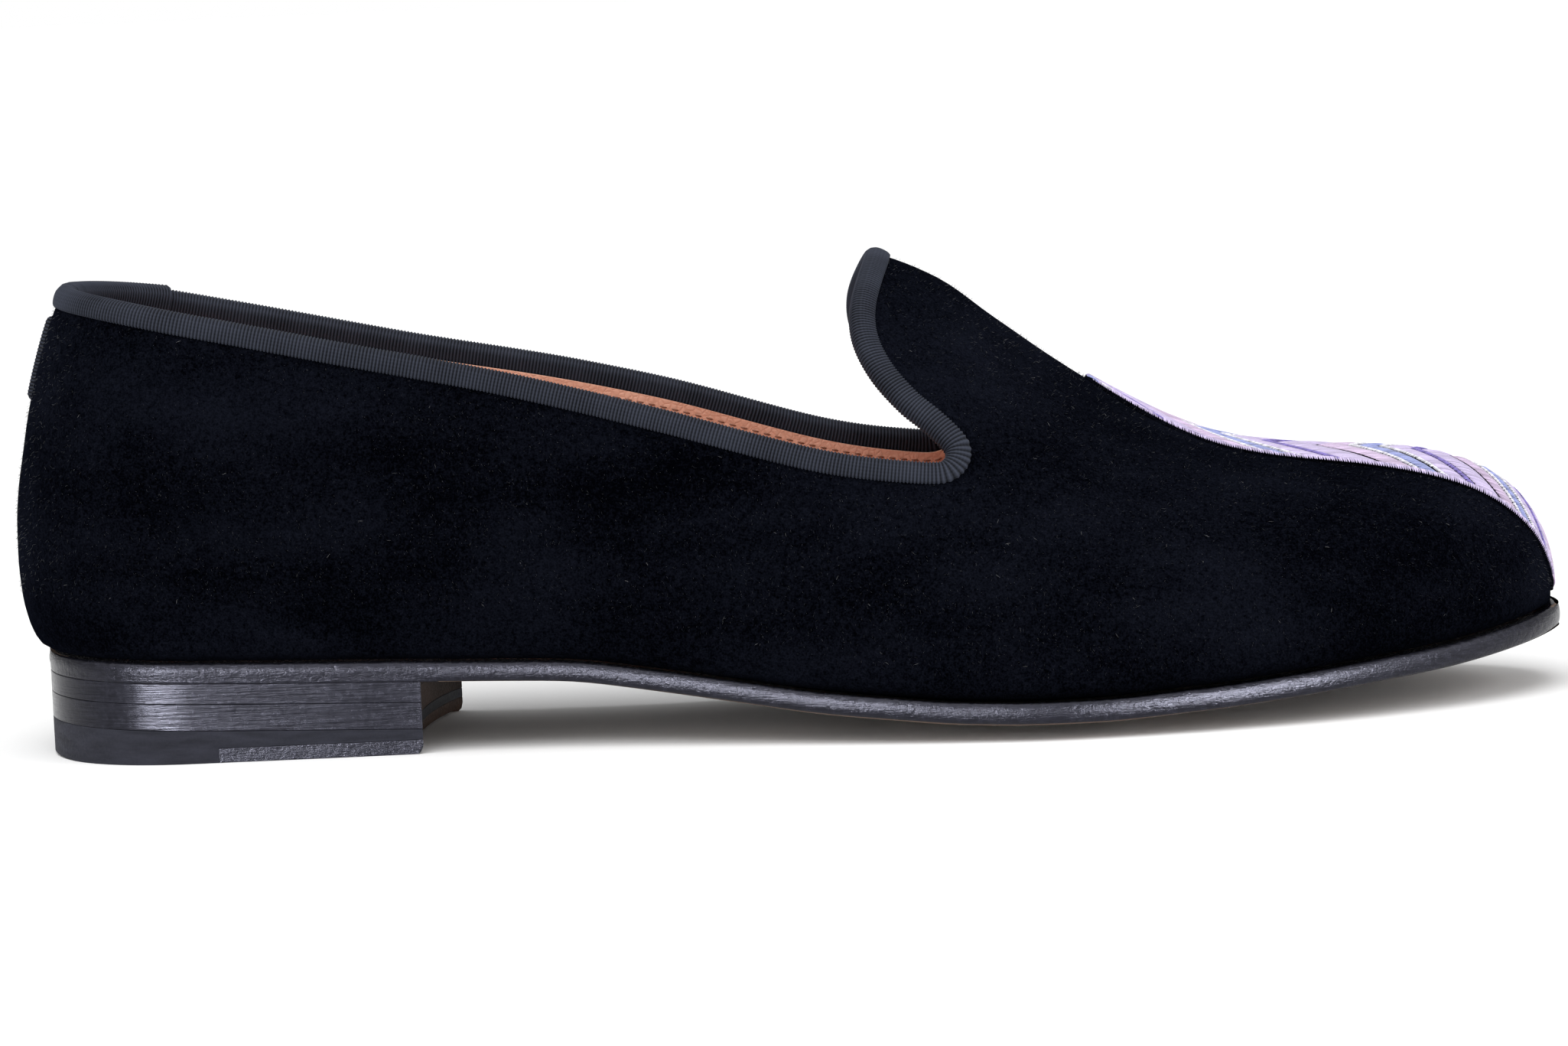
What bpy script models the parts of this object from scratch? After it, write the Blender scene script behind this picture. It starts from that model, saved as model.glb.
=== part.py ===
"""Velvet slipper loafer, right shoe: upper, bound collar, sole and built heel.

Lengths are metres, +X runs to the toe, +Z is up and the outer side of the foot is -Y.
The tables hold shares of the named sizes. Their first column, along, is a share of
LENGTH measured from the rearmost point of the heel.
"""

import math

import bmesh
import bpy
import numpy as np
from mathutils import Matrix

# Main sizes of the shoe
LENGTH = 0.2885
BALL_WIDTH = 0.0946
HEEL_WIDTH = 0.0606
BACK_HEIGHT = 0.068
INSTEP_HEIGHT = 0.0775
HEEL_HEIGHT = 0.0146
TOE_SPRING = 0.011

# Walls and clearances
UPPER_WALL = 0.0020
FEATHER_RADIUS = 0.0026
LASTING_MARGIN = 0.010
CLEARANCE = 0.0003
INSOLE_THICKNESS = 0.0022
INSOLE_INSET = 0.0034

# Outsole
SOLE_THICKNESS = 0.0036
FOREPART_EXTRA = 0.0005
WELT_REACH = 0.0014
SEAT_REACH = 0.0004

# Built heel, from the sole down to the floor
LIFT_ONE = 0.0034
LIFT_TWO = 0.0046
BREAST_X = 0.0765
BREAST_SKEW = 0.0040
BREAST_HOLLOW = 0.0034
FRONT_QUARTER_X = 0.0390
FRONT_QUARTER_THICKNESS = 0.0027
TREAD_BEVEL_LENGTH = 0.0130
TREAD_BEVEL_RISE = 0.0010

# Binding, back strip and embroidered panel
BINDING_WIDTH = 0.0031
BINDING_THICKNESS = 0.0007
BINDING_CLEARANCE = 0.0005
STRIP_WIDTH = 0.0080
STRIP_THICKNESS = 0.0007
STRIP_TOP = 0.905
STRIP_BOTTOM = 0.680
PANEL_THICKNESS = 0.0006

# The origin is on the rubber tread under the heel
ORIGIN_X = 0.0225

# Mesh resolution
STATIONS = 43
ARCH_STEPS = 15
SOLE_STATIONS = 34
BINDING_STEP = 0.0075
BINDING_TURN = math.radians(24.0)
ARCH_CROWDING = 1.7
FOOT_CUT_STATIONS = 28
SOLE_COLUMNS = 9
INSOLE_STATIONS = 26
INSOLE_COLUMNS = 7
PANEL_ROWS = 23
PANEL_COLUMNS = 9
STRIP_POINTS = 7
HEEL_POINTS = 15
HEEL_CROWDING = 1.6
BREAST_POINTS = 10
RIM_STEPS = 60
RIM_END_STEPS = 24
HALVINGS = 40

# Step in sweep and turn over which slopes of the wall are read
WALL_STEP = 0.004

# Reach of the cutters past what they cut; the plug's two tips are shares of BACK_HEIGHT
PLUG_REACH = 0.008
PLUG_TOP = 2.0
PLUG_DEPTH = 0.4
CUT_REACH = 0.01

# Sweep over which the back strip's width is measured, and a step in from the seam
SEAM_SWEEP = 0.02
SEAM_STEP = 1e-5

# Reach of the foot's cutter below and above the upper's underside, in wall thicknesses
FOOT_CUT_DOWN = 2.0
FOOT_CUT_UP = 2.5

# Power of the breast's hollow: below 1 it is fuller than a sine
BREAST_POWER = 0.8

# Feather corner: most of the half width and of the height that its radius may take
CORNER_OF_WIDTH = 0.35
CORNER_OF_HEIGHT = 0.25
CORNER_ANGLES = (-90.0, -45.0)

# Turned-under margin: where its points lie, as shares of the half width
MARGIN_SHARES = (0.35, 0.7)

# Power by which the ridge's sideways lean grows with height
LEAN_POWER = 1.5

# Shares of the length over which the sole's reach and its thickness change
REACH_BLEND = (0.25, 0.60)
FOREPART_BLEND = (0.3, 0.9)

# A layer's reach fades where its half width is under this many times the reach
REACH_FADE = 4.0

# Fold of the binding over the rim: how far its shoulders lie out, up and down, as shares
FOLD_OUT = 0.8
FOLD_RISE = 0.5
FOLD_DROP = 0.25

# Outline of the feather line: middle and half width as shares of the local width
PLAN = {
    "along": (0.00, 0.10, 0.20, 0.26, 0.33, 0.40, 0.47, 0.54, 0.61, 0.66, 0.73, 0.82, 0.91, 1.00),
    "middle": (0.00, 0.00, -0.01, -0.03, -0.07, -0.11, -0.13, -0.12, -0.085, -0.06, 0.00, 0.05, 0.09, 0.12),
    "half": (1.00, 1.00, 0.99, 0.94, 0.865, 0.82, 0.825, 0.875, 0.94, 0.98, 1.00, 0.985, 0.94, 0.87),
}
HEEL_ROUND = {"reach": 0.105, "power": 2.15}
TOE_ROUND = {"reach": 0.300, "power": 2.10}
WIDTH_BLEND = (0.20, 0.70)

# Underside along the middle: shares of HEEL_HEIGHT and TOE_SPRING, and the crown across
BOTTOM = {
    "along": (0.00, 0.15, 0.285, 0.318, 0.36, 0.415, 0.464, 0.512, 0.561, 0.61, 0.65, 0.692,
              0.758, 0.817, 0.869, 0.921, 0.969, 1.00),
    "heel": (1.099, 0.9915, 0.8947, 0.848, 0.777, 0.603, 0.425, 0.245, 0.110, 0.000, -0.034, -0.026,
             0.0, 0.0, 0.0, 0.0, 0.0, 0.0),
    "spring": (0.0, 0.0, 0.0, 0.0, 0.0, 0.0, 0.0, 0.0, 0.0, 0.0, 0.0, 0.006,
               0.100, 0.264, 0.427, 0.600, 0.830, 1.00),
    "crown": (0.0, 0.0, 0.0, 0.004, 0.010, 0.015, 0.020, 0.025, 0.031, 0.036, 0.038, 0.036,
              0.030, 0.023, 0.017, 0.010, 0.003, 0.0),
}

# Back seam: inset from the rearmost point, by height over the feather line
BACK = {
    "up": (0.00, 0.015, 0.045, 0.08, 0.15, 0.25, 0.35, 0.44, 0.54, 0.63, 0.71, 0.80, 0.88, 0.96, 1.03, 1.40),
    "inset": (0.086, 0.060, 0.041, 0.028, 0.014, 0.008, 0.010, 0.019, 0.037, 0.054, 0.073,
              0.099, 0.126, 0.160, 0.200, 0.420),
}
BACK_FADE = 3.0

# Sections: ridge height, shape powers, side bulge and sideways lean of the ridge
SECTION = {
    "along": (0.00, 0.10, 0.21, 0.31, 0.42, 0.485, 0.535, 0.572, 0.603, 0.641, 0.679, 0.721,
              0.759, 0.79, 0.825, 0.866, 0.90, 1.00),
    "ridge": (1.161, 1.140, 1.103, 1.070, 1.048, 1.038, 1.022, 0.993, 0.950, 0.851, 0.747, 0.642,
              0.560, 0.511, 0.476, 0.449, 0.436, 0.425),
    "power_up": (3.0, 3.0, 3.0, 2.9, 2.6, 2.35, 2.15, 2.0, 1.92, 1.90, 1.92, 2.0,
                 2.08, 2.15, 2.22, 2.30, 2.35, 2.40),
    "power_side": (2.5, 2.5, 2.5, 2.5, 2.35, 2.2, 2.08, 1.98, 1.93, 1.90, 1.92, 1.98,
                   2.05, 2.12, 2.20, 2.26, 2.30, 2.30),
    "bulge": (0.060, 0.060, 0.070, 0.085, 0.080, 0.065, 0.050, 0.040, 0.036, 0.034, 0.034, 0.036,
              0.040, 0.044, 0.048, 0.050, 0.050, 0.050),
    "lean": (0.0, 0.0, 0.0, 0.01, 0.03, 0.05, 0.07, 0.085, 0.09, 0.10, 0.11, 0.115,
             0.12, 0.12, 0.12, 0.12, 0.12, 0.12),
}
RIDGE_ROUND = {"reach": 0.134, "power": 2.4}

# Rim of the collar and throat in side view: shares of BACK_HEIGHT and INSTEP_HEIGHT
RIM = {
    "along": (-0.060, 0.048, 0.139, 0.225, 0.329, 0.423, 0.527, 0.579, 0.6005, 0.6043, 0.6075, 0.6082,
              0.6064, 0.593, 0.580, 0.563, 0.5535, 0.553, 0.5595, 0.5705, 0.593),
    "back": (1.026, 0.979, 0.912, 0.8415, 0.380, 0.0, 0.0, 0.0, 0.0, 0.0, 0.0, 0.0,
             0.0, 0.0, 0.0, 0.0, 0.0, 0.0, 0.0, 0.0, 0.0),
    "instep": (0.0, 0.0, 0.0, 0.0, 0.331, 0.604, 0.549, 0.535, 0.536, 0.5425, 0.5571, 0.5748,
               0.5877, 0.636, 0.6735, 0.745, 0.822, 0.888, 0.962, 1.035, 1.130),
}

# The rim lies a little higher on the inner side: by this angle of turn, over this part of the length
INNER_RIM_TURN = 0.027
INNER_RIM_SPAN = (0.24, 0.60)

# Embroidered panel on the vamp: half width as a share of the arch from ridge to feather
PANEL = {
    "along": (0.700, 0.735, 0.77, 0.81, 0.85, 0.885, 0.915, 0.945, 0.970, 0.987, 0.9998),
    "half": (0.03, 0.10, 0.14, 0.168, 0.195, 0.25, 0.31, 0.375, 0.455, 0.53, 0.70),
}


def curve(table, column, at):
    """Read a smooth curve through a table's column without overshoot."""
    x = np.asarray(table["along" if "along" in table else "up"], float)
    y = np.asarray(table[column], float)
    at = np.clip(np.asarray(at, float), x[0], x[-1])
    step = np.diff(x)
    slope = np.diff(y) / step
    product = slope[:-1] * slope[1:]
    total = slope[:-1] + slope[1:]
    tangent = np.zeros_like(y)
    tangent[0] = slope[0]
    tangent[-1] = slope[-1]
    tangent[1:-1] = np.where(product > 0, 2.0 * product / np.where(total == 0, 1.0, total), 0.0)
    i = np.clip(np.searchsorted(x, at, side="right") - 1, 0, len(x) - 2)
    t = (at - x[i]) / step[i]
    rise = (1 + 2 * t) * (1 - t) ** 2 * y[i] + t * t * (3 - 2 * t) * y[i + 1]
    return rise + step[i] * t * (1 - t) * ((1 - t) * tangent[i] - t * tangent[i + 1])


def rounding(distance, reach, power):
    """Fall from 1 to 0 like a superellipse as the distance to an end goes from reach to 0."""
    inside = np.clip(1.0 - np.asarray(distance, float) / reach, 0.0, 1.0)
    return np.clip(1.0 - inside ** power, 0.0, 1.0) ** (1.0 / power)


def local_width(along):
    """Width that the outline's shares refer to, from the heel's to the ball's."""
    low, high = WIDTH_BLEND
    t = np.clip((np.asarray(along, float) - low) / (high - low), 0.0, 1.0)
    return HEEL_WIDTH + (BALL_WIDTH - HEEL_WIDTH) * t * t * (3 - 2 * t)


def plan_middle(along):
    """Sideways place of the outline's middle."""
    return curve(PLAN, "middle", along) * local_width(along) / 2


def plan_half(along):
    """Half width of the feather line."""
    along = np.clip(np.asarray(along, float), 0.0, 1.0)
    ends = rounding(along, HEEL_ROUND["reach"], HEEL_ROUND["power"])
    ends = ends * rounding(1.0 - along, TOE_ROUND["reach"], TOE_ROUND["power"])
    return curve(PLAN, "half", along) * ends * local_width(along) / 2


def resized_half(along, grow):
    """Half width moved out or in by grow, fading where the outline closes."""
    half = plan_half(along)
    return half + grow * np.clip(half / (REACH_FADE * abs(grow)), 0.0, 1.0)


def back_inset(height):
    """How far the back seam lies in front of the rearmost point at a height over the feather."""
    return curve(BACK, "inset", np.asarray(height, float) / BACK_HEIGHT) * BACK_HEIGHT


def station_x(along, height=0.0):
    """Lengthwise place of a station, bent at the heel to follow the back seam."""
    along = np.asarray(along, float)
    return along * LENGTH + back_inset(height) * (1.0 - along) ** BACK_FADE


def bottom_height(x, across=0.0):
    """Height of the outsole's underside; across runs from -1 to 1 over its width."""
    share = np.asarray(x, float) / LENGTH
    middle = HEEL_HEIGHT * curve(BOTTOM, "heel", share) + TOE_SPRING * curve(BOTTOM, "spring", share)
    crown = BALL_WIDTH * curve(BOTTOM, "crown", share)
    return middle + crown * np.asarray(across, float) ** 2


def sole_thickness(x):
    """Thickness of the outsole, a little more under the forepart."""
    low, high = FOREPART_BLEND
    t = np.clip((np.asarray(x, float) / LENGTH - low) / (high - low), 0.0, 1.0)
    return SOLE_THICKNESS + FOREPART_EXTRA * t


def last_bottom(x, across=0.0):
    """Height of the upper's underside, just above the outsole."""
    return bottom_height(x, across) + sole_thickness(x) + CLEARANCE


def feather_height(along):
    """Height of the feather line at a station."""
    return last_bottom(station_x(along), 1.0)


def ridge_rise(along):
    """Height of the ridge over the feather line, closing at the toe."""
    ends = rounding(1.0 - np.asarray(along, float), RIDGE_ROUND["reach"], RIDGE_ROUND["power"])
    return INSTEP_HEIGHT * curve(SECTION, "ridge", along) * ends


def feather_corner(along):
    """Radius where the wall turns under the foot."""
    room = np.minimum(CORNER_OF_WIDTH * plan_half(along), CORNER_OF_HEIGHT * ridge_rise(along))
    return np.minimum(FEATHER_RADIUS, room)


def wall(sweep, turn, side):
    """Point on the upper's outer surface.

    sweep goes 0 to 1 from the back seam to the toe, turn 0 to pi/2 from the feather to the
    ridge, and side is -1 on the outer and 1 on the inner side of the foot. Values just past
    the seam or the ridge run on over the other side.
    """
    sweep = np.asarray(sweep, float)
    turn = np.asarray(turn, float)
    along = (1.0 - np.cos(math.pi * sweep)) / 2
    over = np.sign(np.cos(turn)) * np.where(sweep < 0, -1.0, 1.0)
    rise = np.abs(np.sin(turn)) ** (2.0 / curve(SECTION, "power_up", along))
    spread = np.abs(np.cos(turn)) ** (2.0 / curve(SECTION, "power_side", along))
    corner = feather_corner(along)
    height = corner + (ridge_rise(along) - corner) * rise
    spread = spread + curve(SECTION, "bulge", along) * 4 * rise * (1 - rise)
    middle = plan_middle(along)
    lean = curve(SECTION, "lean", along) * local_width(along) / 2 - middle
    y = middle + lean * rise ** LEAN_POWER + side * over * plan_half(along) * spread
    z = feather_height(along) + height
    return np.stack(np.broadcast_arrays(station_x(along, height), y, z), axis=-1)


def wall_normal(sweep, turn, side):
    """Outward normal of the upper's outer surface."""
    along_sweep = wall(sweep + WALL_STEP, turn, side) - wall(sweep - WALL_STEP, turn, side)
    along_turn = wall(sweep, turn + WALL_STEP, side) - wall(sweep, turn - WALL_STEP, side)
    normal = np.cross(along_sweep, along_turn) * -np.asarray(side, float)[..., None]
    return normal / np.linalg.norm(normal, axis=-1, keepdims=True)


def wall_walk(sweep, turn, side, direction, distance, steps=4):
    """Follow the surface from a point for a distance, and return the new sweep and turn."""
    small = WALL_STEP
    heading = direction
    for _ in range(steps):
        one = (wall(sweep + small, turn, side) - wall(sweep - small, turn, side)) / (2 * small)
        two = (wall(sweep, turn + small, side) - wall(sweep, turn - small, side)) / (2 * small)
        normal = wall_normal(sweep, turn, side)
        heading = heading - normal * np.sum(heading * normal, axis=-1, keepdims=True)
        heading = heading / np.linalg.norm(heading, axis=-1, keepdims=True)
        a = np.sum(one * one, axis=-1)
        b = np.sum(one * two, axis=-1)
        c = np.sum(two * two, axis=-1)
        p = np.sum(one * heading, axis=-1)
        q = np.sum(two * heading, axis=-1)
        spread = a * c - b * b
        sweep = sweep + distance / steps * (c * p - b * q) / spread
        turn = turn + distance / steps * (a * q - b * p) / spread
    return sweep, turn


def place_on_wall(x, z):
    """Sweep and turn of the wall point that has this x and z."""
    along = x / LENGTH
    for _ in range(12):
        height = z - feather_height(np.clip(along, 0.0, 1.0))
        along = (x - back_inset(height) * (1.0 - np.clip(along, 0.0, 1.0)) ** BACK_FADE) / LENGTH
    inside = np.clip(along, 0.0, 1.0)
    corner = feather_corner(inside)
    rise = (z - feather_height(inside) - corner) / (ridge_rise(inside) - corner)
    turn = np.arcsin(np.clip(rise, 0.0, 1.0) ** (curve(SECTION, "power_up", inside) / 2))
    sweep = np.arccos(1.0 - 2.0 * inside) / math.pi
    return sweep, turn, along, rise


def rim_curve(count):
    """Side view of the rim, from behind the heel to above the tongue, as x and z."""
    along = np.asarray(RIM["along"])
    x = along * LENGTH
    z = last_bottom(np.clip(x, 0.0, LENGTH), 1.0)
    z = z + BACK_HEIGHT * np.asarray(RIM["back"]) + INSTEP_HEIGHT * np.asarray(RIM["instep"])
    points = np.stack([x, z], axis=1)
    points = np.vstack([2 * points[0] - points[1], points, 2 * points[-1] - points[-2]])
    result = []
    for i in range(1, len(points) - 2):
        p0, p1, p2, p3 = points[i - 1:i + 3]
        k0 = np.sqrt(np.linalg.norm(p1 - p0))
        k1 = np.sqrt(np.linalg.norm(p2 - p1))
        k2 = np.sqrt(np.linalg.norm(p3 - p2))
        m1 = k1 * ((p1 - p0) / k0 - (p2 - p0) / (k0 + k1)) + (p2 - p1)
        m2 = k1 * ((p3 - p2) / k2 - (p3 - p1) / (k1 + k2)) + (p2 - p1)
        t = np.linspace(0, 1, count, endpoint=False)[:, None]
        result.append((1 + 2 * t) * (1 - t) ** 2 * p1 + t * (1 - t) ** 2 * m1
                      + t * t * (3 - 2 * t) * p2 + t * t * (t - 1) * m2)
    result.append(points[-2][None])
    return np.vstack(result)


def rim_path():
    """Sweep and turn along the rim from the back seam to the ridge of the tongue."""
    side_view = rim_curve(RIM_STEPS)
    _, _, along, rise = place_on_wall(side_view[:, 0], side_view[:, 1])
    past_seam = int(np.argmax(along > 0.0))
    past_ridge = past_seam + int(np.argmax(rise[past_seam:] >= 1.0))
    line = side_view[past_seam - 1:past_ridge + 1]
    first = _crossing(line[0], line[1], 2)
    last = _crossing(line[-1], line[-2], 3)
    line = np.vstack([first, line[1:-1], last])
    fine = []
    for i in range(len(line) - 1):
        bend = RIM_END_STEPS if i == 0 or i == len(line) - 2 else 1
        share = np.linspace(0, 1, bend, endpoint=False)
        share = share ** 2 if i == 0 else 1 - (1 - share) ** 2
        fine.append(line[i] + (line[i + 1] - line[i]) * share[:, None])
    fine = np.vstack(fine + [line[-1][None]])
    sweep, turn, _, _ = place_on_wall(fine[:, 0], fine[:, 1])
    sweep[0] = 0.0
    turn[-1] = math.pi / 2
    return sweep, turn


def _crossing(outside, inside, which):
    """Halve the step between a point off the wall and one on it, down to the wall's edge."""
    for _ in range(HALVINGS):
        middle = (outside + inside) / 2
        found = place_on_wall(middle[:1], middle[1:])[which][0]
        on_wall = found > 0.0 if which == 2 else found < 1.0
        if on_wall:
            inside = middle
        else:
            outside = middle
    return inside


def inner_rim_turn(sweep, turn):
    """Turn of the rim on the inner side, from its turn on the outer side."""
    low, high = INNER_RIM_SPAN
    share = np.clip(((1.0 - np.cos(math.pi * sweep)) / 2 - low) / (high - low), 0.0, 1.0)
    return turn + INNER_RIM_TURN * np.sin(math.pi * share) ** 2 * np.cos(turn)


def rim_samples():
    """The rim right round the opening: sweep, turn and side, closer together at the throat."""
    sweep, turn = rim_path()
    point = wall(sweep, turn, -1.0)
    chord = np.diff(point, axis=0)
    length = np.linalg.norm(chord, axis=1)
    heading = chord / length[:, None]
    angle = np.arccos(np.clip(np.sum(heading[:-1] * heading[1:], axis=1), -1.0, 1.0))
    effort = length / BINDING_STEP
    effort[1:] += angle / BINDING_TURN
    total = np.concatenate([[0.0], np.cumsum(effort)])
    count = int(round(total[-1]))
    pick = np.linspace(0.0, total[-1], count + 1)
    sweep = np.interp(pick, total, sweep)
    turn = np.interp(pick, total, turn)
    outer = -np.ones(count + 1)
    back = slice(-2, 0, -1)
    inner = inner_rim_turn(sweep, turn)
    return (np.concatenate([sweep, sweep[back]]), np.concatenate([turn, inner[back]]),
            np.concatenate([outer, -outer[back]]))


def new_mesh(name, points, faces):
    """Make a mesh object from points and faces, its doubles merged and its faces turned out."""
    mesh = bpy.data.meshes.new(name)
    mesh.from_pydata([tuple(p) for p in points], [], faces)
    work = bmesh.new()
    work.from_mesh(mesh)
    bmesh.ops.remove_doubles(work, verts=work.verts, dist=1e-6)
    bmesh.ops.dissolve_degenerate(work, edges=work.edges, dist=1e-7)
    bmesh.ops.recalc_face_normals(work, faces=work.faces)
    if work.calc_volume(signed=True) < 0:
        bmesh.ops.reverse_faces(work, faces=work.faces)
    work.to_mesh(mesh)
    work.free()
    mesh.shade_smooth()
    mesh.set_sharp_from_angle(angle=math.radians(50))
    return bpy.data.objects.new(name, mesh)


def loft(name, rings, closed_along=False):
    """Join closed rings of points, given as rows, end to end."""
    rings = np.asarray(rings)
    rows, columns, _ = rings.shape
    faces = []
    for i in range(rows if closed_along else rows - 1):
        j = (i + 1) % rows
        for k in range(columns):
            n = (k + 1) % columns
            faces.append((i * columns + k, j * columns + k, j * columns + n, i * columns + n))
    return new_mesh(name, rings.reshape(-1, 3), faces)


def sweep_stations(count):
    """Stations from back to toe, close together where the ends are round."""
    return np.linspace(0.0, 1.0, count + 1)


def finish(shape, collection, colour, roughness, metallic=0.0):
    """Put an object in its collection with its own material, moved to the part's origin."""
    shape.data.transform(_shift())
    collection.objects.link(shape)
    material = bpy.data.materials.new(shape.name)
    material.use_nodes = True
    surface = material.node_tree.nodes["Principled BSDF"]
    surface.inputs["Base Color"].default_value = (*colour, 1.0)
    surface.inputs["Roughness"].default_value = roughness
    surface.inputs["Metallic"].default_value = metallic
    shape.data.materials.append(material)
    return shape


def _shift():
    """Matrix that takes the rearmost point's frame to the part's origin."""
    return Matrix.Translation((-ORIGIN_X, 0.0, 0.0))


def cut(shape, cutter, collection):
    """Take a cutter away from a shape with a live Boolean."""
    cutter.data.transform(_shift())
    collection.objects.link(cutter)
    cutter.hide_render = True
    cutter.display_type = "WIRE"
    boolean = shape.modifiers.new(cutter.name, "BOOLEAN")
    boolean.object = cutter
    boolean.operation = "DIFFERENCE"


def prism(name, outline, low, high):
    """Stretch a flat outline between two ends.

    outline is rows of three coordinates; low and high are the offsets of the two ends.
    """
    outline = np.asarray(outline)
    count = len(outline)
    points = np.vstack([outline + low, outline + high])
    faces = [tuple(range(count)), tuple(range(2 * count - 1, count - 1, -1))]
    faces += [(k, (k + 1) % count, count + (k + 1) % count, count + k) for k in range(count)]
    return new_mesh(name, points, faces)


def upper_rings():
    """Closed sections of the upper's outer surface, with its underside."""
    rings = []
    share = np.linspace(0.0, 1.0, ARCH_STEPS + 1)
    turns = math.pi / 2 * share ** (ARCH_CROWDING - (ARCH_CROWDING - 1.0) * share)
    for sweep in sweep_stations(STATIONS):
        along = (1.0 - math.cos(math.pi * sweep)) / 2
        half = float(plan_half(along))
        middle = float(plan_middle(along))
        corner = float(feather_corner(along))
        feather = float(feather_height(along))
        x = float(station_x(along))
        sides = []
        for side in (-1.0, 1.0):
            points = []
            for share in MARGIN_SHARES:
                points.append((x, middle + side * share * (half - corner), float(last_bottom(x, share))))
            for angle in CORNER_ANGLES:
                lift = corner * (1.0 + math.sin(math.radians(angle)))
                y = middle + side * (half - corner + corner * math.cos(math.radians(angle)))
                points.append((float(station_x(along, lift)), y, feather + lift))
            points += [tuple(p) for p in wall(np.full(ARCH_STEPS + 1, sweep), turns, side)]
            sides.append(points)
        centre = [(x, middle, float(last_bottom(x)))]
        rings.append(centre + sides[0] + sides[1][-2::-1])
    return rings


def opening_plug():
    """Cutter for the opening: a collar square to the wall all along the rim, closed above and below."""
    sweep, turn, side = rim_samples()
    point = wall(sweep, turn, side)
    reach = wall_normal(sweep, turn, side) * PLUG_REACH
    count = len(point)
    middle = point.mean(axis=0)
    above = middle + np.array([0.0, 0.0, PLUG_TOP * BACK_HEIGHT])
    below = middle - np.array([0.0, 0.0, PLUG_DEPTH * BACK_HEIGHT])
    points = np.vstack([point + reach, point - reach, above, below])
    faces = []
    for i in range(count):
        j = (i + 1) % count
        faces.append((i, j, count + j, count + i))
        faces.append((j, i, 2 * count))
        faces.append((count + i, count + j, 2 * count + 1))
    return new_mesh("opening_cut", points, faces)


def make_upper(collection, cutters):
    """Velvet upper: one hollow wall turned under the foot, open at collar and underneath."""
    upper = loft("upper", upper_rings())
    shell = upper.modifiers.new("wall", "SOLIDIFY")
    shell.thickness = UPPER_WALL
    shell.offset = -1.0
    shell.use_even_offset = True
    cut(upper, opening_plug(), cutters)
    along = (1.0 - np.cos(math.pi * sweep_stations(FOOT_CUT_STATIONS))) / 2
    start = float(station_x(0.0)) + LASTING_MARGIN
    x = start + along * (LENGTH - LASTING_MARGIN - start)
    half = np.maximum(resized_half(along, -LASTING_MARGIN), 0.0)
    middle = plan_middle(along)
    rings = []
    for i in range(len(x)):
        base = float(last_bottom(x[i]))
        deep = np.array([0.0, 0.0, base - FOOT_CUT_DOWN * UPPER_WALL])
        high = np.array([0.0, 0.0, base + FOOT_CUT_UP * UPPER_WALL])
        left = np.array([x[i], middle[i] - half[i], 0.0])
        right = np.array([x[i], middle[i] + half[i], 0.0])
        rings.append([left + deep, right + deep, right + high, left + high])
    cut(upper, loft("foot_cut", rings), cutters)
    return finish(upper, collection, (0.010, 0.011, 0.022), 0.9)


def make_binding(collection):
    """Ribbed binding folded over the whole rim of the opening."""
    sweep, turn, side = rim_samples()
    point = wall(sweep, turn, side)
    tangent = np.roll(point, -1, axis=0) - np.roll(point, 1, axis=0)
    tangent = tangent / np.linalg.norm(tangent, axis=1, keepdims=True)
    normal = wall_normal(sweep, turn, side)
    down = np.cross(tangent, normal)
    down = down / np.linalg.norm(down, axis=1, keepdims=True)
    outer = BINDING_CLEARANCE + BINDING_THICKNESS
    inner = -UPPER_WALL - BINDING_CLEARANCE
    depths = (BINDING_WIDTH, BINDING_WIDTH / 2, 0.0)
    leaves = {}
    for depth in depths:
        if depth:
            s, t = wall_walk(sweep, turn, side, down, depth)
        else:
            s, t = sweep, turn
        leaves[depth] = (wall(s, t, side), wall_normal(s, t, side))
    path = [(depth, outer) for depth in depths]
    path += [(-outer * FOLD_OUT, outer * FOLD_RISE), (-outer, -UPPER_WALL / 2),
             (-outer * FOLD_OUT, inner - outer * FOLD_DROP)]
    path += [(depth, inner - BINDING_THICKNESS) for depth in depths[::-1]]
    path += [(depths[0], inner), (depths[1], inner), (-BINDING_CLEARANCE, inner)]
    path += [(depth, BINDING_CLEARANCE) for depth in (-BINDING_CLEARANCE, depths[1], depths[0])]
    rings = []
    for depth, out in path:
        if depth in leaves:
            place, facing = leaves[depth]
            rings.append(place + facing * out)
        else:
            rings.append(point + normal * out + down * depth)
    rings = np.transpose(np.array(rings), (1, 0, 2))
    binding = loft("topline_binding", rings, closed_along=True)
    return finish(binding, collection, (0.045, 0.050, 0.060), 0.7)


def surface_patch(name, sweep, turn, side, low, high):
    """Closed thin solid between two offsets of the wall, over a grid of wall places."""
    point = wall(sweep, turn, side)
    normal = wall_normal(sweep, turn, side)
    top = point + normal * high
    base = point + normal * low
    rings = np.concatenate([top, base[:, ::-1]], axis=1)
    rows, columns, _ = rings.shape
    half = columns // 2
    faces = []
    for i in range(rows - 1):
        for k in range(columns):
            n = (k + 1) % columns
            faces.append((i * columns + k, (i + 1) * columns + k, (i + 1) * columns + n, i * columns + n))
    for i in (0, rows - 1):
        for k in range(half - 1):
            mirror = columns - 1 - k
            faces.append((i * columns + k, i * columns + k + 1, i * columns + mirror - 1, i * columns + mirror))
    return new_mesh(name, rings.reshape(-1, 3), faces)


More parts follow.
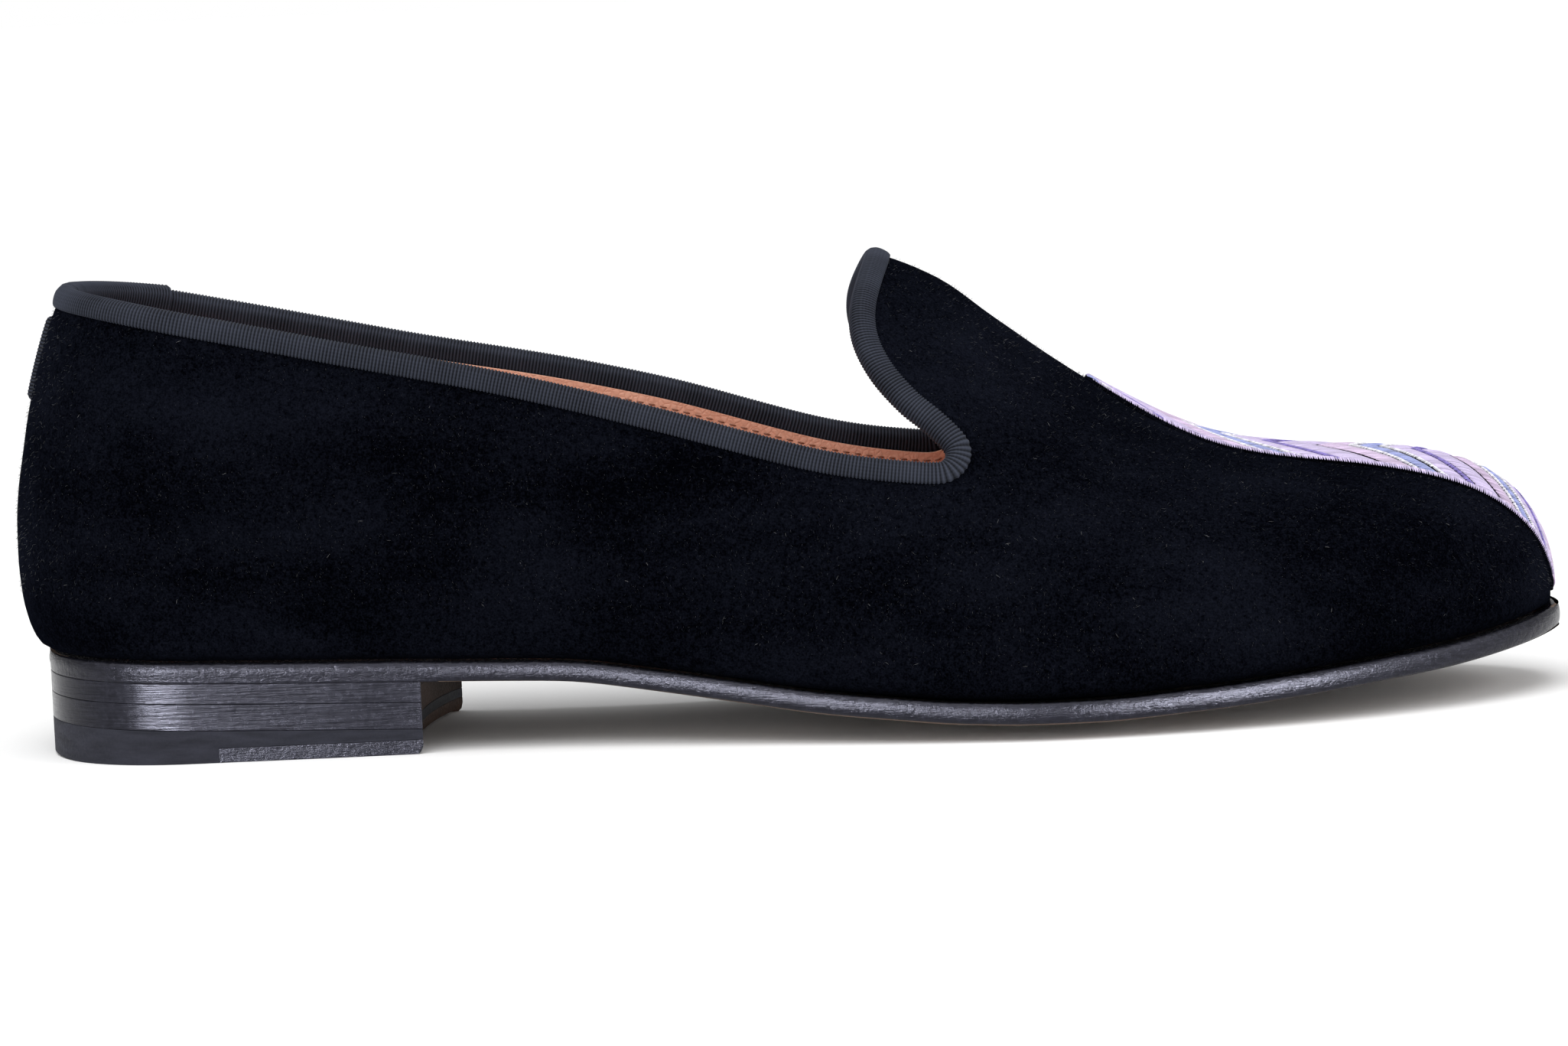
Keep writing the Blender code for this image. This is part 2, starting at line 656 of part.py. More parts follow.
def make_back_strip(collection):
    """Narrow strip over the back seam, below the binding."""
    heights = np.linspace(STRIP_BOTTOM, STRIP_TOP, STRIP_POINTS) * BACK_HEIGHT + float(feather_height(0.0))
    across = np.linspace(-1.0, 1.0, STRIP_POINTS)
    sweep = np.zeros((len(heights), len(across)))
    turn = np.zeros_like(sweep)
    for i, z in enumerate(heights):
        x = float(back_inset(z - feather_height(0.0)))
        _, start, _, _ = place_on_wall(np.array([x + SEAM_STEP]), np.array([z]))
        turn[i] = start[0]
        width = np.abs(wall(np.array([SEAM_SWEEP]), start, 1.0)[0, 1])
        sweep[i] = across * SEAM_SWEEP * (STRIP_WIDTH / 2) / width
    strip = surface_patch("back_strip", sweep, turn, np.ones_like(sweep), CLEARANCE,
                          CLEARANCE + STRIP_THICKNESS)
    return finish(strip, collection, (0.030, 0.033, 0.045), 0.75)


def make_panel(collection):
    """Embroidered panel over the vamp and the toe."""
    ends = np.arccos(1.0 - 2.0 * np.array([PANEL["along"][0], PANEL["along"][-1]])) / math.pi
    sweep = np.linspace(ends[0], ends[1], PANEL_ROWS)
    half = curve(PANEL, "half", (1.0 - np.cos(math.pi * sweep)) / 2)
    across = np.linspace(-1.0, 1.0, PANEL_COLUMNS)
    turn = math.pi / 2 * (1.0 - half[:, None] * across[None, :])
    sweep = np.repeat(sweep[:, None], len(across), axis=1)
    low = CLEARANCE
    panel = surface_patch("vamp_embroidery", sweep, turn, np.ones_like(sweep), low,
                          low + PANEL_THICKNESS)
    return finish(panel, collection, (0.45, 0.38, 0.62), 0.6)


def sole_outline(along, grow_back, grow_front):
    """Lengthwise place and half width of a sole layer, with its ends moved out."""
    front = np.asarray(along, float)
    x = station_x(along) - grow_back * (1.0 - front) + grow_front * front
    low, high = REACH_BLEND
    ease = np.clip((front - low) / (high - low), 0.0, 1.0)
    grow = grow_back + (grow_front - grow_back) * ease * ease * (3 - 2 * ease)
    return x, plan_middle(along), resized_half(along, grow)


def make_outsole(collection):
    """Outsole with its waist, crowned tread and toe spring."""
    along = (1.0 - np.cos(math.pi * sweep_stations(SOLE_STATIONS))) / 2
    x, middle, half = sole_outline(along, SEAT_REACH, WELT_REACH)
    across = np.linspace(-1.0, 1.0, SOLE_COLUMNS)
    rings = []
    for i in range(len(x)):
        top = []
        under = []
        for v in across:
            low = float(bottom_height(x[i], v))
            high = low + float(sole_thickness(x[i]))
            top.append((x[i], middle[i] + v * half[i], high))
            under.append((x[i], middle[i] + v * half[i], max(low, 0.0)))
        rings.append(top + under[::-1])
    return finish(loft("outsole", rings), collection, (0.030, 0.026, 0.024), 0.5)


def make_insole(collection):
    """Leather insole lying on the turned-under margin of the upper."""
    along = (1.0 - np.cos(math.pi * sweep_stations(INSOLE_STATIONS))) / 2
    x, middle, half = sole_outline(along, -INSOLE_INSET, -INSOLE_INSET)
    across = np.linspace(-1.0, 1.0, INSOLE_COLUMNS)
    rings = []
    for i in range(len(x)):
        bend = min(1.0, half[i] / INSOLE_INSET)
        low = [(x[i], middle[i] + v * half[i],
                float(last_bottom(x[i], v * bend)) + UPPER_WALL + CLEARANCE) for v in across]
        top = [(p[0], p[1], p[2] + INSOLE_THICKNESS) for p in low]
        rings.append(top + low[::-1])
    return finish(loft("insole", rings), collection, (0.42, 0.25, 0.15), 0.6)


def heel_outline():
    """Outline of the heel seen from above, with its hollow breast, as x and y."""
    along = np.linspace(0.0, 1.0, HEEL_POINTS) ** HEEL_CROWDING * (BREAST_X / LENGTH)
    x, middle, half = sole_outline(along, SEAT_REACH, WELT_REACH)
    x = np.minimum(x, BREAST_X)
    outer = [(x[i], middle[i] - half[i]) for i in range(len(x))]
    inner = [(x[i], middle[i] + half[i]) for i in range(len(x) - 1, 0, -1)]
    corner = (outer[-1], (BREAST_X + BREAST_SKEW, inner[0][1]))
    breast = []
    for t in np.linspace(0.0, 1.0, BREAST_POINTS)[1:-1]:
        chord = [corner[0][k] + (corner[1][k] - corner[0][k]) * t for k in (0, 1)]
        breast.append((chord[0] - BREAST_HOLLOW * math.sin(math.pi * t) ** BREAST_POWER, chord[1]))
    return outer + breast + [corner[1]] + inner


def heel_layer(name, low, high):
    """Slice of the heel between two heights, each a function of x."""
    outline = heel_outline()
    count = len(outline)
    points = [(x, y, low(x)) for x, y in outline]
    points += [(x, y, high(x)) for x, y in outline]
    faces = [tuple(range(count)), tuple(range(2 * count - 1, count - 1, -1))]
    faces += [(k, (k + 1) % count, count + (k + 1) % count, count + k) for k in range(count)]
    return new_mesh(name, points, faces)


def seat(x):
    """Underside of the outsole over the heel, a sloping plane."""
    return float(bottom_height(x)) - CLEARANCE


def block(name, low, high):
    """Box between two corners."""
    size = [high[k] - low[k] for k in range(3)]
    centre = [(high[k] + low[k]) / 2 for k in range(3)]
    work = bmesh.new()
    bmesh.ops.create_cube(work, size=1.0)
    for vert in work.verts:
        vert.co = [vert.co[k] * size[k] + centre[k] for k in range(3)]
    mesh = bpy.data.meshes.new(name)
    work.to_mesh(mesh)
    work.free()
    return bpy.data.objects.new(name, mesh)


def make_heel(collection, cutters):
    """Two leather lifts over a rubber tread with a leather front quarter."""
    under_one = LIFT_ONE
    under_two = under_one + CLEARANCE + LIFT_TWO
    one = heel_layer("heel_lift_upper", lambda x: seat(x) - under_one, seat)
    two = heel_layer("heel_lift_lower", lambda x: seat(x) - under_two,
                     lambda x: seat(x) - under_one - CLEARANCE)
    finish(one, collection, (0.012, 0.011, 0.012), 0.3)
    finish(two, collection, (0.012, 0.011, 0.012), 0.3)
    rubber = heel_layer("heel_rubber", lambda x: 0.0, lambda x: seat(x) - under_two - CLEARANCE)
    wide = HEEL_WIDTH
    ahead = BREAST_X + BREAST_SKEW + CUT_REACH
    cut(rubber, block("quarter_space", (FRONT_QUARTER_X, -wide, -CUT_REACH),
                      (ahead, wide, FRONT_QUARTER_THICKNESS + CLEARANCE)), cutters)
    wedge = [(-CUT_REACH, 0.0, -CUT_REACH), (TREAD_BEVEL_LENGTH, 0.0, -CUT_REACH),
             (TREAD_BEVEL_LENGTH, 0.0, 0.0),
             (-CUT_REACH, 0.0, TREAD_BEVEL_RISE * (1 + CUT_REACH / TREAD_BEVEL_LENGTH))]
    reach = np.array([0.0, wide, 0.0])
    cut(rubber, prism("back_bevel", wedge, -reach, reach), cutters)
    finish(rubber, collection, (0.055, 0.055, 0.060), 0.8)
    quarter = heel_layer("heel_front_quarter", lambda x: 0.0, lambda x: FRONT_QUARTER_THICKNESS)
    cut(quarter, block("rubber_space", (-CUT_REACH, -wide, -CUT_REACH),
                       (FRONT_QUARTER_X + CLEARANCE, wide, CUT_REACH)), cutters)
    finish(quarter, collection, (0.015, 0.013, 0.014), 0.3)


def main():
    """Clear the scene and build every piece of the shoe."""
    for old in list(bpy.data.objects):
        bpy.data.objects.remove(old)
    shoe = bpy.data.collections.new("velvet_slipper_loafer")
    cutters = bpy.data.collections.new("cutters")
    for collection in (shoe, cutters):
        bpy.context.scene.collection.children.link(collection)
    make_outsole(shoe)
    make_insole(shoe)
    make_upper(shoe, cutters)
    make_binding(shoe)
    make_back_strip(shoe)
    make_panel(shoe)
    make_heel(shoe, cutters)


main()
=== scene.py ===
"""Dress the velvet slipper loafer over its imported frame.

Lengths are metres in the part's frame: +X runs to the toe, +Z is up and the outer side of
the foot is -Y. The shapes follow the same named sizes and short tables as the solids.
"""

import logging
import math
from dataclasses import dataclass
from enum import Enum

import bmesh
import bpy
import numpy as np
from mathutils import Matrix, Vector
from mathutils.geometry import delaunay_2d_cdt


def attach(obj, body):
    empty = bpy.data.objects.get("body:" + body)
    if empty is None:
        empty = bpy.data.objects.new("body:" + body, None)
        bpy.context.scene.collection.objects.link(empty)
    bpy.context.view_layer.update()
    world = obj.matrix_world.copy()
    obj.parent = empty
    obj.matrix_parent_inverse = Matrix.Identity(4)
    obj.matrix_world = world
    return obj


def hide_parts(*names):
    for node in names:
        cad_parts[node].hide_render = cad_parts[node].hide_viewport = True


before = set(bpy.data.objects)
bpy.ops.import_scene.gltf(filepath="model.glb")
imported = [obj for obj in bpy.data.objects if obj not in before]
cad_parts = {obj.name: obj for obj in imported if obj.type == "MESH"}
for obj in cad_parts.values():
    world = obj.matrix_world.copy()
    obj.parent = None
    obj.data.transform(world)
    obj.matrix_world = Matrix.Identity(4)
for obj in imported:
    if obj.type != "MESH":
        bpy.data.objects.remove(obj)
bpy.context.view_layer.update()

LOG = logging.getLogger("slipper")
WELD = 2e-6
SLIVER = 1e-7
NEAR_TOE = 0.992
SHARP = 60.0
Array = np.ndarray
Socket = bpy.types.NodeSocket
Material = bpy.types.Material
Shape = bpy.types.Object
Inputs = bpy.types.bpy_prop_collection
Tree = bpy.types.NodeTree
Pair = tuple[float, float]
Triple = tuple[float, float, float]
Colour = Triple
Faces = list[tuple[int, ...]]


class Side(Enum):
    """Side of the foot; the value is the sign of Y."""

    OUTER = -1.0
    INNER = 1.0


class Thread(Enum):
    """Colours of the embroidery thread; the periwinkle is the lavender satin's shaded colour laid as
    stripes, painted shade.
    """

    LAVENDER = (0.54, 0.46, 0.68)
    LILAC = (0.58, 0.455, 0.64)
    PERIWINKLE = (0.27, 0.305, 0.58)
    VIOLET = (0.19, 0.145, 0.44)
    WHITE = (0.74, 0.73, 0.79)
    NAVY = (0.030, 0.032, 0.085)


def smooth_step(value: Array) -> Array:
    """Ease a share from 0 to 1, flat at both ends."""
    share = np.clip(value, 0.0, 1.0)
    return share * share * (3.0 - 2.0 * share)


def unit(vectors: Array) -> Array:
    """Scale rows of vectors to length one."""
    return vectors / np.linalg.norm(vectors, axis=-1, keepdims=True)


@dataclass(frozen=True)
class Profile:
    """A smooth curve through a short table, without overshoot."""

    at: tuple[float, ...]
    value: tuple[float, ...]

    def read(self, where: Array) -> Array:
        """Read the curve.

        Args:
            where: places to read at, held to the table's range.

        Returns:
            The curve's values there.
        """
        x = np.asarray(self.at, float)
        y = np.asarray(self.value, float)
        where = np.clip(np.asarray(where, float), x[0], x[-1])
        step = np.diff(x)
        slope = np.diff(y) / step
        product = slope[:-1] * slope[1:]
        total = slope[:-1] + slope[1:]
        tangent = np.zeros_like(y)
        tangent[0] = slope[0]
        tangent[-1] = slope[-1]
        tangent[1:-1] = np.where(product > 0, 2.0 * product / np.where(total == 0, 1.0, total), 0.0)
        i = np.clip(np.searchsorted(x, where, side="right") - 1, 0, len(x) - 2)
        t = (where - x[i]) / step[i]
        rise = (1 + 2 * t) * (1 - t) ** 2 * y[i] + t * t * (3 - 2 * t) * y[i + 1]
        return rise + step[i] * t * (1 - t) * ((1 - t) * tangent[i] - t * tangent[i + 1])


PLAN_AT = (0.00, 0.10, 0.20, 0.26, 0.33, 0.40, 0.47, 0.54, 0.61, 0.66, 0.73, 0.82, 0.91, 1.00)
BOTTOM_AT = (0.00, 0.15, 0.285, 0.318, 0.36, 0.415, 0.464, 0.512, 0.561, 0.61, 0.65, 0.692,
             0.758, 0.817, 0.869, 0.921, 0.969, 1.00)
BACK_AT = (0.00, 0.015, 0.045, 0.08, 0.15, 0.25, 0.35, 0.44, 0.54, 0.63, 0.71, 0.80, 0.88, 0.96,
           1.03, 1.40)
SECTION_AT = (0.00, 0.10, 0.21, 0.31, 0.42, 0.485, 0.535, 0.572, 0.603, 0.641, 0.679, 0.721,
              0.759, 0.79, 0.825, 0.866, 0.90, 1.00)
RIM_ALONG = (-0.060, 0.048, 0.139, 0.225, 0.329, 0.423, 0.527, 0.579, 0.6005, 0.6043, 0.6075,
             0.6082, 0.6064, 0.593, 0.580, 0.563, 0.5535, 0.553, 0.5595, 0.5705, 0.593)
RIM_BACK = (1.026, 0.979, 0.912, 0.8415, 0.380) + (0.0,) * 16
RIM_INSTEP = (0.0, 0.0, 0.0, 0.0, 0.331, 0.604, 0.549, 0.535, 0.536, 0.5425, 0.5571, 0.5748,
              0.5877, 0.636, 0.6735, 0.745, 0.822, 0.888, 0.962, 1.035, 1.130)
PANEL_HALF = Profile((0.700, 0.735, 0.77, 0.81, 0.85, 0.885, 0.915, 0.945, 0.970, 0.987, 0.9998),
                     (0.03, 0.10, 0.14, 0.168, 0.195, 0.25, 0.31, 0.375, 0.455, 0.55, 0.80))


@dataclass(frozen=True)
class LastForm:
    """The last's surface, outline and underside, from named sizes and short tables.

    sweep goes 0 to 1 from the back seam to the toe, and turn 0 to pi/2 from the feather line to
    the ridge. Points are measured from the rearmost point until place() moves them.
    """

    length: float = 0.2885
    ball_width: float = 0.0946
    heel_width: float = 0.0606
    back_height: float = 0.068
    instep_height: float = 0.0775
    heel_height: float = 0.0146
    toe_spring: float = 0.011
    wall_thickness: float = 0.0020
    feather_radius: float = 0.0026
    clearance: float = 0.0003
    sole_thickness: float = 0.0036
    forepart_extra: float = 0.0005
    origin_x: float = 0.0225
    back_fade: float = 3.0
    heel_round: Pair = (0.105, 2.15)
    toe_round: Pair = (0.300, 2.10)
    ridge_round: Pair = (0.134, 2.4)
    width_blend: Pair = (0.20, 0.70)
    inner_rise: float = 0.027
    inner_span: Pair = (0.24, 0.60)
    corner_share: Pair = (0.35, 0.25)
    slope_step: float = 0.004
    search_steps: int = 12
    halvings: int = 40
    rim_detail: int = 60
    rim_end_detail: int = 24
    middle: Profile = Profile(PLAN_AT, (
        0.00, 0.00, -0.01, -0.03, -0.07, -0.11, -0.13, -0.12, -0.085, -0.06, 0.00, 0.05, 0.09,
        0.12))
    half: Profile = Profile(PLAN_AT, (
        1.00, 1.00, 0.99, 0.94, 0.865, 0.82, 0.825, 0.875, 0.94, 0.98, 1.00, 0.985, 0.94, 0.87))
    heel_fall: Profile = Profile(BOTTOM_AT, (
        1.099, 0.9915, 0.8947, 0.848, 0.777, 0.603, 0.425, 0.245, 0.110, 0.000, -0.034,
        -0.026) + (0.0,) * 6)
    spring: Profile = Profile(BOTTOM_AT, (0.0,) * 11 + (
        0.006, 0.100, 0.264, 0.427, 0.600, 0.830, 1.00))
    crown: Profile = Profile(BOTTOM_AT, (
        0.0, 0.0, 0.0, 0.004, 0.010, 0.015, 0.020, 0.025, 0.031, 0.036, 0.038, 0.036, 0.030, 0.023,
        0.017, 0.010, 0.003, 0.0))
    back: Profile = Profile(BACK_AT, (
        0.086, 0.060, 0.041, 0.028, 0.014, 0.008, 0.010, 0.019, 0.037, 0.054, 0.073, 0.099, 0.126,
        0.160, 0.200, 0.420))
    ridge: Profile = Profile(SECTION_AT, (
        1.161, 1.140, 1.103, 1.070, 1.048, 1.038, 1.022, 0.993, 0.950, 0.851, 0.747, 0.642, 0.560,
        0.511, 0.476, 0.449, 0.436, 0.425))
    power_up: Profile = Profile(SECTION_AT, (
        3.0, 3.0, 3.0, 2.9, 2.6, 2.35, 2.15, 2.0, 1.92, 1.90, 1.92, 2.0, 2.08, 2.15, 2.22, 2.30,
        2.35, 2.40))
    power_side: Profile = Profile(SECTION_AT, (
        2.5, 2.5, 2.5, 2.5, 2.35, 2.2, 2.08, 1.98, 1.93, 1.90, 1.92, 1.98, 2.05, 2.12, 2.20, 2.26,
        2.30, 2.30))
    bulge: Profile = Profile(SECTION_AT, (
        0.060, 0.060, 0.070, 0.085, 0.080, 0.065, 0.050, 0.040, 0.036, 0.034, 0.034, 0.036, 0.040,
        0.044, 0.048, 0.050, 0.050, 0.050))
    lean: Profile = Profile(SECTION_AT, (
        0.0, 0.0, 0.0, 0.01, 0.03, 0.05, 0.07, 0.085, 0.09, 0.10, 0.11, 0.115) + (0.12,) * 6)

    @staticmethod
    def rounding(distance: Array, reach: float, power: float) -> Array:
        """Fall from 1 to 0 like a superellipse towards an end.

        Args:
            distance: distance to the end.
            reach: distance over which the fall happens.
            power: the superellipse's power.

        Returns:
            The factor, 0 at the end.
        """
        inside = np.clip(1.0 - np.asarray(distance, float) / reach, 0.0, 1.0)
        return np.clip(1.0 - inside ** power, 0.0, 1.0) ** (1.0 / power)

    @staticmethod
    def along(sweep: Array) -> Array:
        """Share of the length at a sweep."""
        return (1.0 - np.cos(math.pi * np.asarray(sweep, float))) / 2

    @staticmethod
    def sweep_at(along: Array) -> Array:
        """Sweep at a share of the length."""
        return np.arccos(1.0 - 2.0 * np.clip(along, 0.0, 1.0)) / math.pi

    def place(self, points: Array) -> Array:
        """Move points from the rearmost point's frame to the part's origin."""
        return np.asarray(points, float) - np.array([self.origin_x, 0.0, 0.0])

    def local_width(self, along: Array) -> Array:
        """Width that the outline's shares refer to."""
        low, high = self.width_blend
        return self.heel_width + (self.ball_width - self.heel_width) * smooth_step(
            (np.asarray(along, float) - low) / (high - low))

    def plan_middle(self, along: Array) -> Array:
        """Sideways place of the outline's middle."""
        return self.middle.read(along) * self.local_width(along) / 2

    def plan_half(self, along: Array) -> Array:
        """Half width of the feather line."""
        along = np.clip(np.asarray(along, float), 0.0, 1.0)
        ends = self.rounding(along, *self.heel_round) * self.rounding(1.0 - along, *self.toe_round)
        return self.half.read(along) * ends * self.local_width(along) / 2

    def back_inset(self, height: Array) -> Array:
        """How far the back seam lies in front of the rearmost point, by height."""
        return self.back.read(np.asarray(height, float) / self.back_height) * self.back_height

    def station_x(self, along: Array, height: Array | float = 0.0) -> Array:
        """Lengthwise place of a station, bent at the heel to follow the back seam."""
        along = np.asarray(along, float)
        return along * self.length + self.back_inset(height) * (1.0 - along) ** self.back_fade

    def bottom_height(self, x: Array, across: Array | float = 0.0) -> Array:
        """Height of the outsole's underside; across runs from -1 to 1 over its width."""
        share = np.asarray(x, float) / self.length
        middle = (self.heel_height * self.heel_fall.read(share)
                  + self.toe_spring * self.spring.read(share))
        return middle + self.ball_width * self.crown.read(share) * np.asarray(across, float) ** 2

    def sole_depth(self, x: Array) -> Array:
        """Thickness of the outsole."""
        share = np.clip(np.asarray(x, float) / self.length / 0.6 - 0.5, 0.0, 1.0)
        return self.sole_thickness + self.forepart_extra * share

    def last_bottom(self, x: Array, across: Array | float = 0.0) -> Array:
        """Height of the upper's underside, just above the outsole."""
        return self.bottom_height(x, across) + self.sole_depth(x) + self.clearance

    def feather_height(self, along: Array) -> Array:
        """Height of the feather line."""
        return self.last_bottom(self.station_x(along), 1.0)

    def ridge_rise(self, along: Array) -> Array:
        """Height of the ridge over the feather line, closing at the toe."""
        ends = self.rounding(1.0 - np.asarray(along, float), *self.ridge_round)
        return self.instep_height * self.ridge.read(along) * ends

    def feather_corner(self, along: Array) -> Array:
        """Radius where the wall turns under the foot."""
        wide, tall = self.corner_share
        return np.minimum(self.feather_radius,
                          np.minimum(wide * self.plan_half(along), tall * self.ridge_rise(along)))

    def wall(self, sweep: Array, turn: Array, side: Array | float) -> Array:
        """Points on the upper's outer surface.

        Args:
            sweep: 0 to 1 from the back seam to the toe.
            turn: 0 to pi/2 from the feather line to the ridge.
            side: -1 on the outer and 1 on the inner side of the foot.

        Returns:
            Points in rows of three.
        """
        sweep = np.asarray(sweep, float)
        turn = np.asarray(turn, float)
        along = self.along(sweep)
        over = np.sign(np.cos(turn)) * np.where(sweep < 0, -1.0, 1.0)
        rise = np.abs(np.sin(turn)) ** (2.0 / self.power_up.read(along))
        spread = np.abs(np.cos(turn)) ** (2.0 / self.power_side.read(along))
        corner = self.feather_corner(along)
        height = corner + (self.ridge_rise(along) - corner) * rise
        spread = spread + self.bulge.read(along) * 4 * rise * (1 - rise)
        middle = self.plan_middle(along)
        lean = self.lean.read(along) * self.local_width(along) / 2 - middle
        y = middle + lean * rise ** 1.5 + side * over * self.plan_half(along) * spread
        z = self.feather_height(along) + height
        return np.stack(np.broadcast_arrays(self.station_x(along, height), y, z), axis=-1)

    def wall_slopes(self, sweep: Array, turn: Array,
                    side: Array | float) -> tuple[Array, Array]:
        """Slopes of the wall along sweep and along turn.

        Args:
            sweep: 0 to 1 from the back seam to the toe.
            turn: 0 to pi/2 from the feather line to the ridge.
            side: -1 on the outer and 1 on the inner side of the foot.

        Returns:
            Both slopes, in rows of three.
        """
        small = self.slope_step
        one = self.wall(sweep + small, turn, side) - self.wall(sweep - small, turn, side)
        two = self.wall(sweep, turn + small, side) - self.wall(sweep, turn - small, side)
        return one / (2 * small), two / (2 * small)

    def wall_normal(self, sweep: Array, turn: Array, side: Array | float) -> Array:
        """Outward normal of the wall, read just inside its ends where a slope would vanish."""
        one, two = self.wall_slopes(np.minimum(sweep, NEAR_TOE), np.maximum(turn, 0.006), side)
        return unit(np.cross(one, two) * -np.asarray(side, float)[..., None])

    def wall_walk(self, sweep: Array, turn: Array, side: Array | float,
                  heading: Array, distance: float, steps: int = 4) -> tuple[Array, Array]:
        """Follow the surface from a point for a distance.

        Args:
            sweep: where the walk starts.
            turn: where the walk starts.
            side: side of the foot.
            heading: direction of the walk, in rows of three.
            distance: how far to go.
            steps: number of straight steps.

        Returns:
            The new sweep and turn.
        """
        for _ in range(steps):
            one, two = self.wall_slopes(sweep, turn, side)
            normal = self.wall_normal(sweep, turn, side)
            heading = unit(heading - normal * np.sum(heading * normal, axis=-1, keepdims=True))
            a = np.sum(one * one, axis=-1)
            b = np.sum(one * two, axis=-1)
            c = np.sum(two * two, axis=-1)
            p = np.sum(one * heading, axis=-1)
            q = np.sum(two * heading, axis=-1)
            spread = a * c - b * b
            sweep = sweep + distance / steps * (c * p - b * q) / spread
            turn = turn + distance / steps * (a * q - b * p) / spread
        return sweep, turn

    def find_on_wall(self, x: Array, z: Array) -> tuple[Array, ...]:
        """Find the wall point with this x and z.

        Args:
            x: lengthwise place.
            z: height.

        Returns:
            Its sweep and turn, and the unheld along and rise.
        """
        along = x / self.length
        for _ in range(self.search_steps):
            height = z - self.feather_height(np.clip(along, 0.0, 1.0))
            along = (x - self.back_inset(height) * (1.0 - np.clip(along, 0.0, 1.0)) ** self.back_fade)
            along = along / self.length
        inside = np.clip(along, 0.0, 1.0)
        corner = self.feather_corner(inside)
        rise = (z - self.feather_height(inside) - corner) / (self.ridge_rise(inside) - corner)
        turn = np.arcsin(np.clip(rise, 0.0, 1.0) ** (self.power_up.read(inside) / 2))
        return self.sweep_at(inside), turn, along, rise

    def rim_side_view(self, count: int) -> Array:
        """Side view of the rim as x and z, from behind the heel to above the tongue.

        Args:
            count: points between two places of the table.

        Returns:
            Rows of x and z.
        """
        x = np.asarray(RIM_ALONG) * self.length
        z = self.last_bottom(np.clip(x, 0.0, self.length), 1.0)
        z = z + self.back_height * np.asarray(RIM_BACK) + self.instep_height * np.asarray(RIM_INSTEP)
        points = np.stack([x, z], axis=1)
        points = np.vstack([2 * points[0] - points[1], points, 2 * points[-1] - points[-2]])
        result = []
        for i in range(1, len(points) - 2):
            p0, p1, p2, p3 = points[i - 1:i + 3]
            k0 = np.sqrt(np.linalg.norm(p1 - p0))
            k1 = np.sqrt(np.linalg.norm(p2 - p1))
            k2 = np.sqrt(np.linalg.norm(p3 - p2))
            m1 = k1 * ((p1 - p0) / k0 - (p2 - p0) / (k0 + k1)) + (p2 - p1)
            m2 = k1 * ((p3 - p2) / k2 - (p3 - p1) / (k1 + k2)) + (p2 - p1)
            t = np.linspace(0, 1, count, endpoint=False)[:, None]
            result.append((1 + 2 * t) * (1 - t) ** 2 * p1 + t * (1 - t) ** 2 * m1
                          + t * t * (3 - 2 * t) * p2 + t * t * (t - 1) * m2)
        return np.vstack(result)

    def edge_crossing(self, outside: Array, inside: Array, at_seam: bool) -> Array:
        """Halve the step between a point off the wall and one on it, down to the wall's edge.

        Args:
            outside: x and z of the point off the wall.
            inside: x and z of the point on it.
            at_seam: look for the back seam, or for the ridge.

        Returns:
            x and z of the edge.
        """
        for _ in range(self.halvings):
            middle = (outside + inside) / 2
            _, _, along, rise = self.find_on_wall(middle[:1], middle[1:])
            on_wall = along[0] > 0.0 if at_seam else rise[0] < 1.0
            if on_wall:
                inside = middle
            else:
                outside = middle
        return inside

    def rim(self, count: int) -> tuple[Array, Array]:
        """The rim of one side at even steps, from the back seam to the ridge of the tongue.

        Args:
            count: number of steps.

        Returns:
            Sweep and turn of count + 1 points.
        """
        line = self.rim_side_view(self.rim_detail)
        _, _, along, rise = self.find_on_wall(line[:, 0], line[:, 1])
        past_seam = int(np.argmax(along > 0.0))
        past_ridge = past_seam + int(np.argmax(rise[past_seam:] >= 1.0))
        line = line[past_seam - 1:past_ridge + 1]
        first = self.edge_crossing(line[0], line[1], True)
        last = self.edge_crossing(line[-1], line[-2], False)
        line = np.vstack([first, line[1:-1], last])
        share = np.linspace(0, 1, self.rim_end_detail, endpoint=False)[:, None]
        start = line[0] + (line[1] - line[0]) * share ** 2
        end = line[-2] + (line[-1] - line[-2]) * (1 - (1 - share) ** 2)
        fine = np.vstack([start, line[1:-2], end, line[-1][None]])
        sweep, turn, _, _ = self.find_on_wall(fine[:, 0], fine[:, 1])
        sweep[0] = 0.0
        turn[-1] = math.pi / 2
        chord = np.linalg.norm(np.diff(self.wall(sweep, turn, -1.0), axis=0), axis=1)
        total = np.concatenate([[0.0], np.cumsum(chord)])
        pick = np.linspace(0.0, total[-1], count + 1)
        return np.interp(pick, total, sweep), np.interp(pick, total, turn)

    def rim_turn(self, sweep: Array, turn: Array, side: float) -> Array:
        """Turn of the rim on a side; the inner side's rim lies a little higher.

        Args:
            sweep: sweep of the outer side's rim.
            turn: its turn.
            side: side of the foot.

        Returns:
            The turn on that side.
        """
        low, high = self.inner_span
        share = np.clip((self.along(sweep) - low) / (high - low), 0.0, 1.0)
        rise = self.inner_rise * np.sin(math.pi * share) ** 2 * np.cos(turn)
        return turn + rise if side > 0 else turn

    def rim_loop(self, count: int) -> tuple[Array, Array, Array]:
        """The rim right round the opening as sweep, turn and side, 2 * count points.

        Args:
            count: steps on each side.

        Returns:
            Sweep, turn and side.
        """
        sweep, turn = self.rim(count)
        outer = -np.ones(count + 1)
        back = slice(-2, 0, -1)
        inner = self.rim_turn(sweep, turn, 1.0)
        return (np.concatenate([sweep, sweep[back]]), np.concatenate([turn, inner[back]]),
                np.concatenate([outer, -outer[back]]))

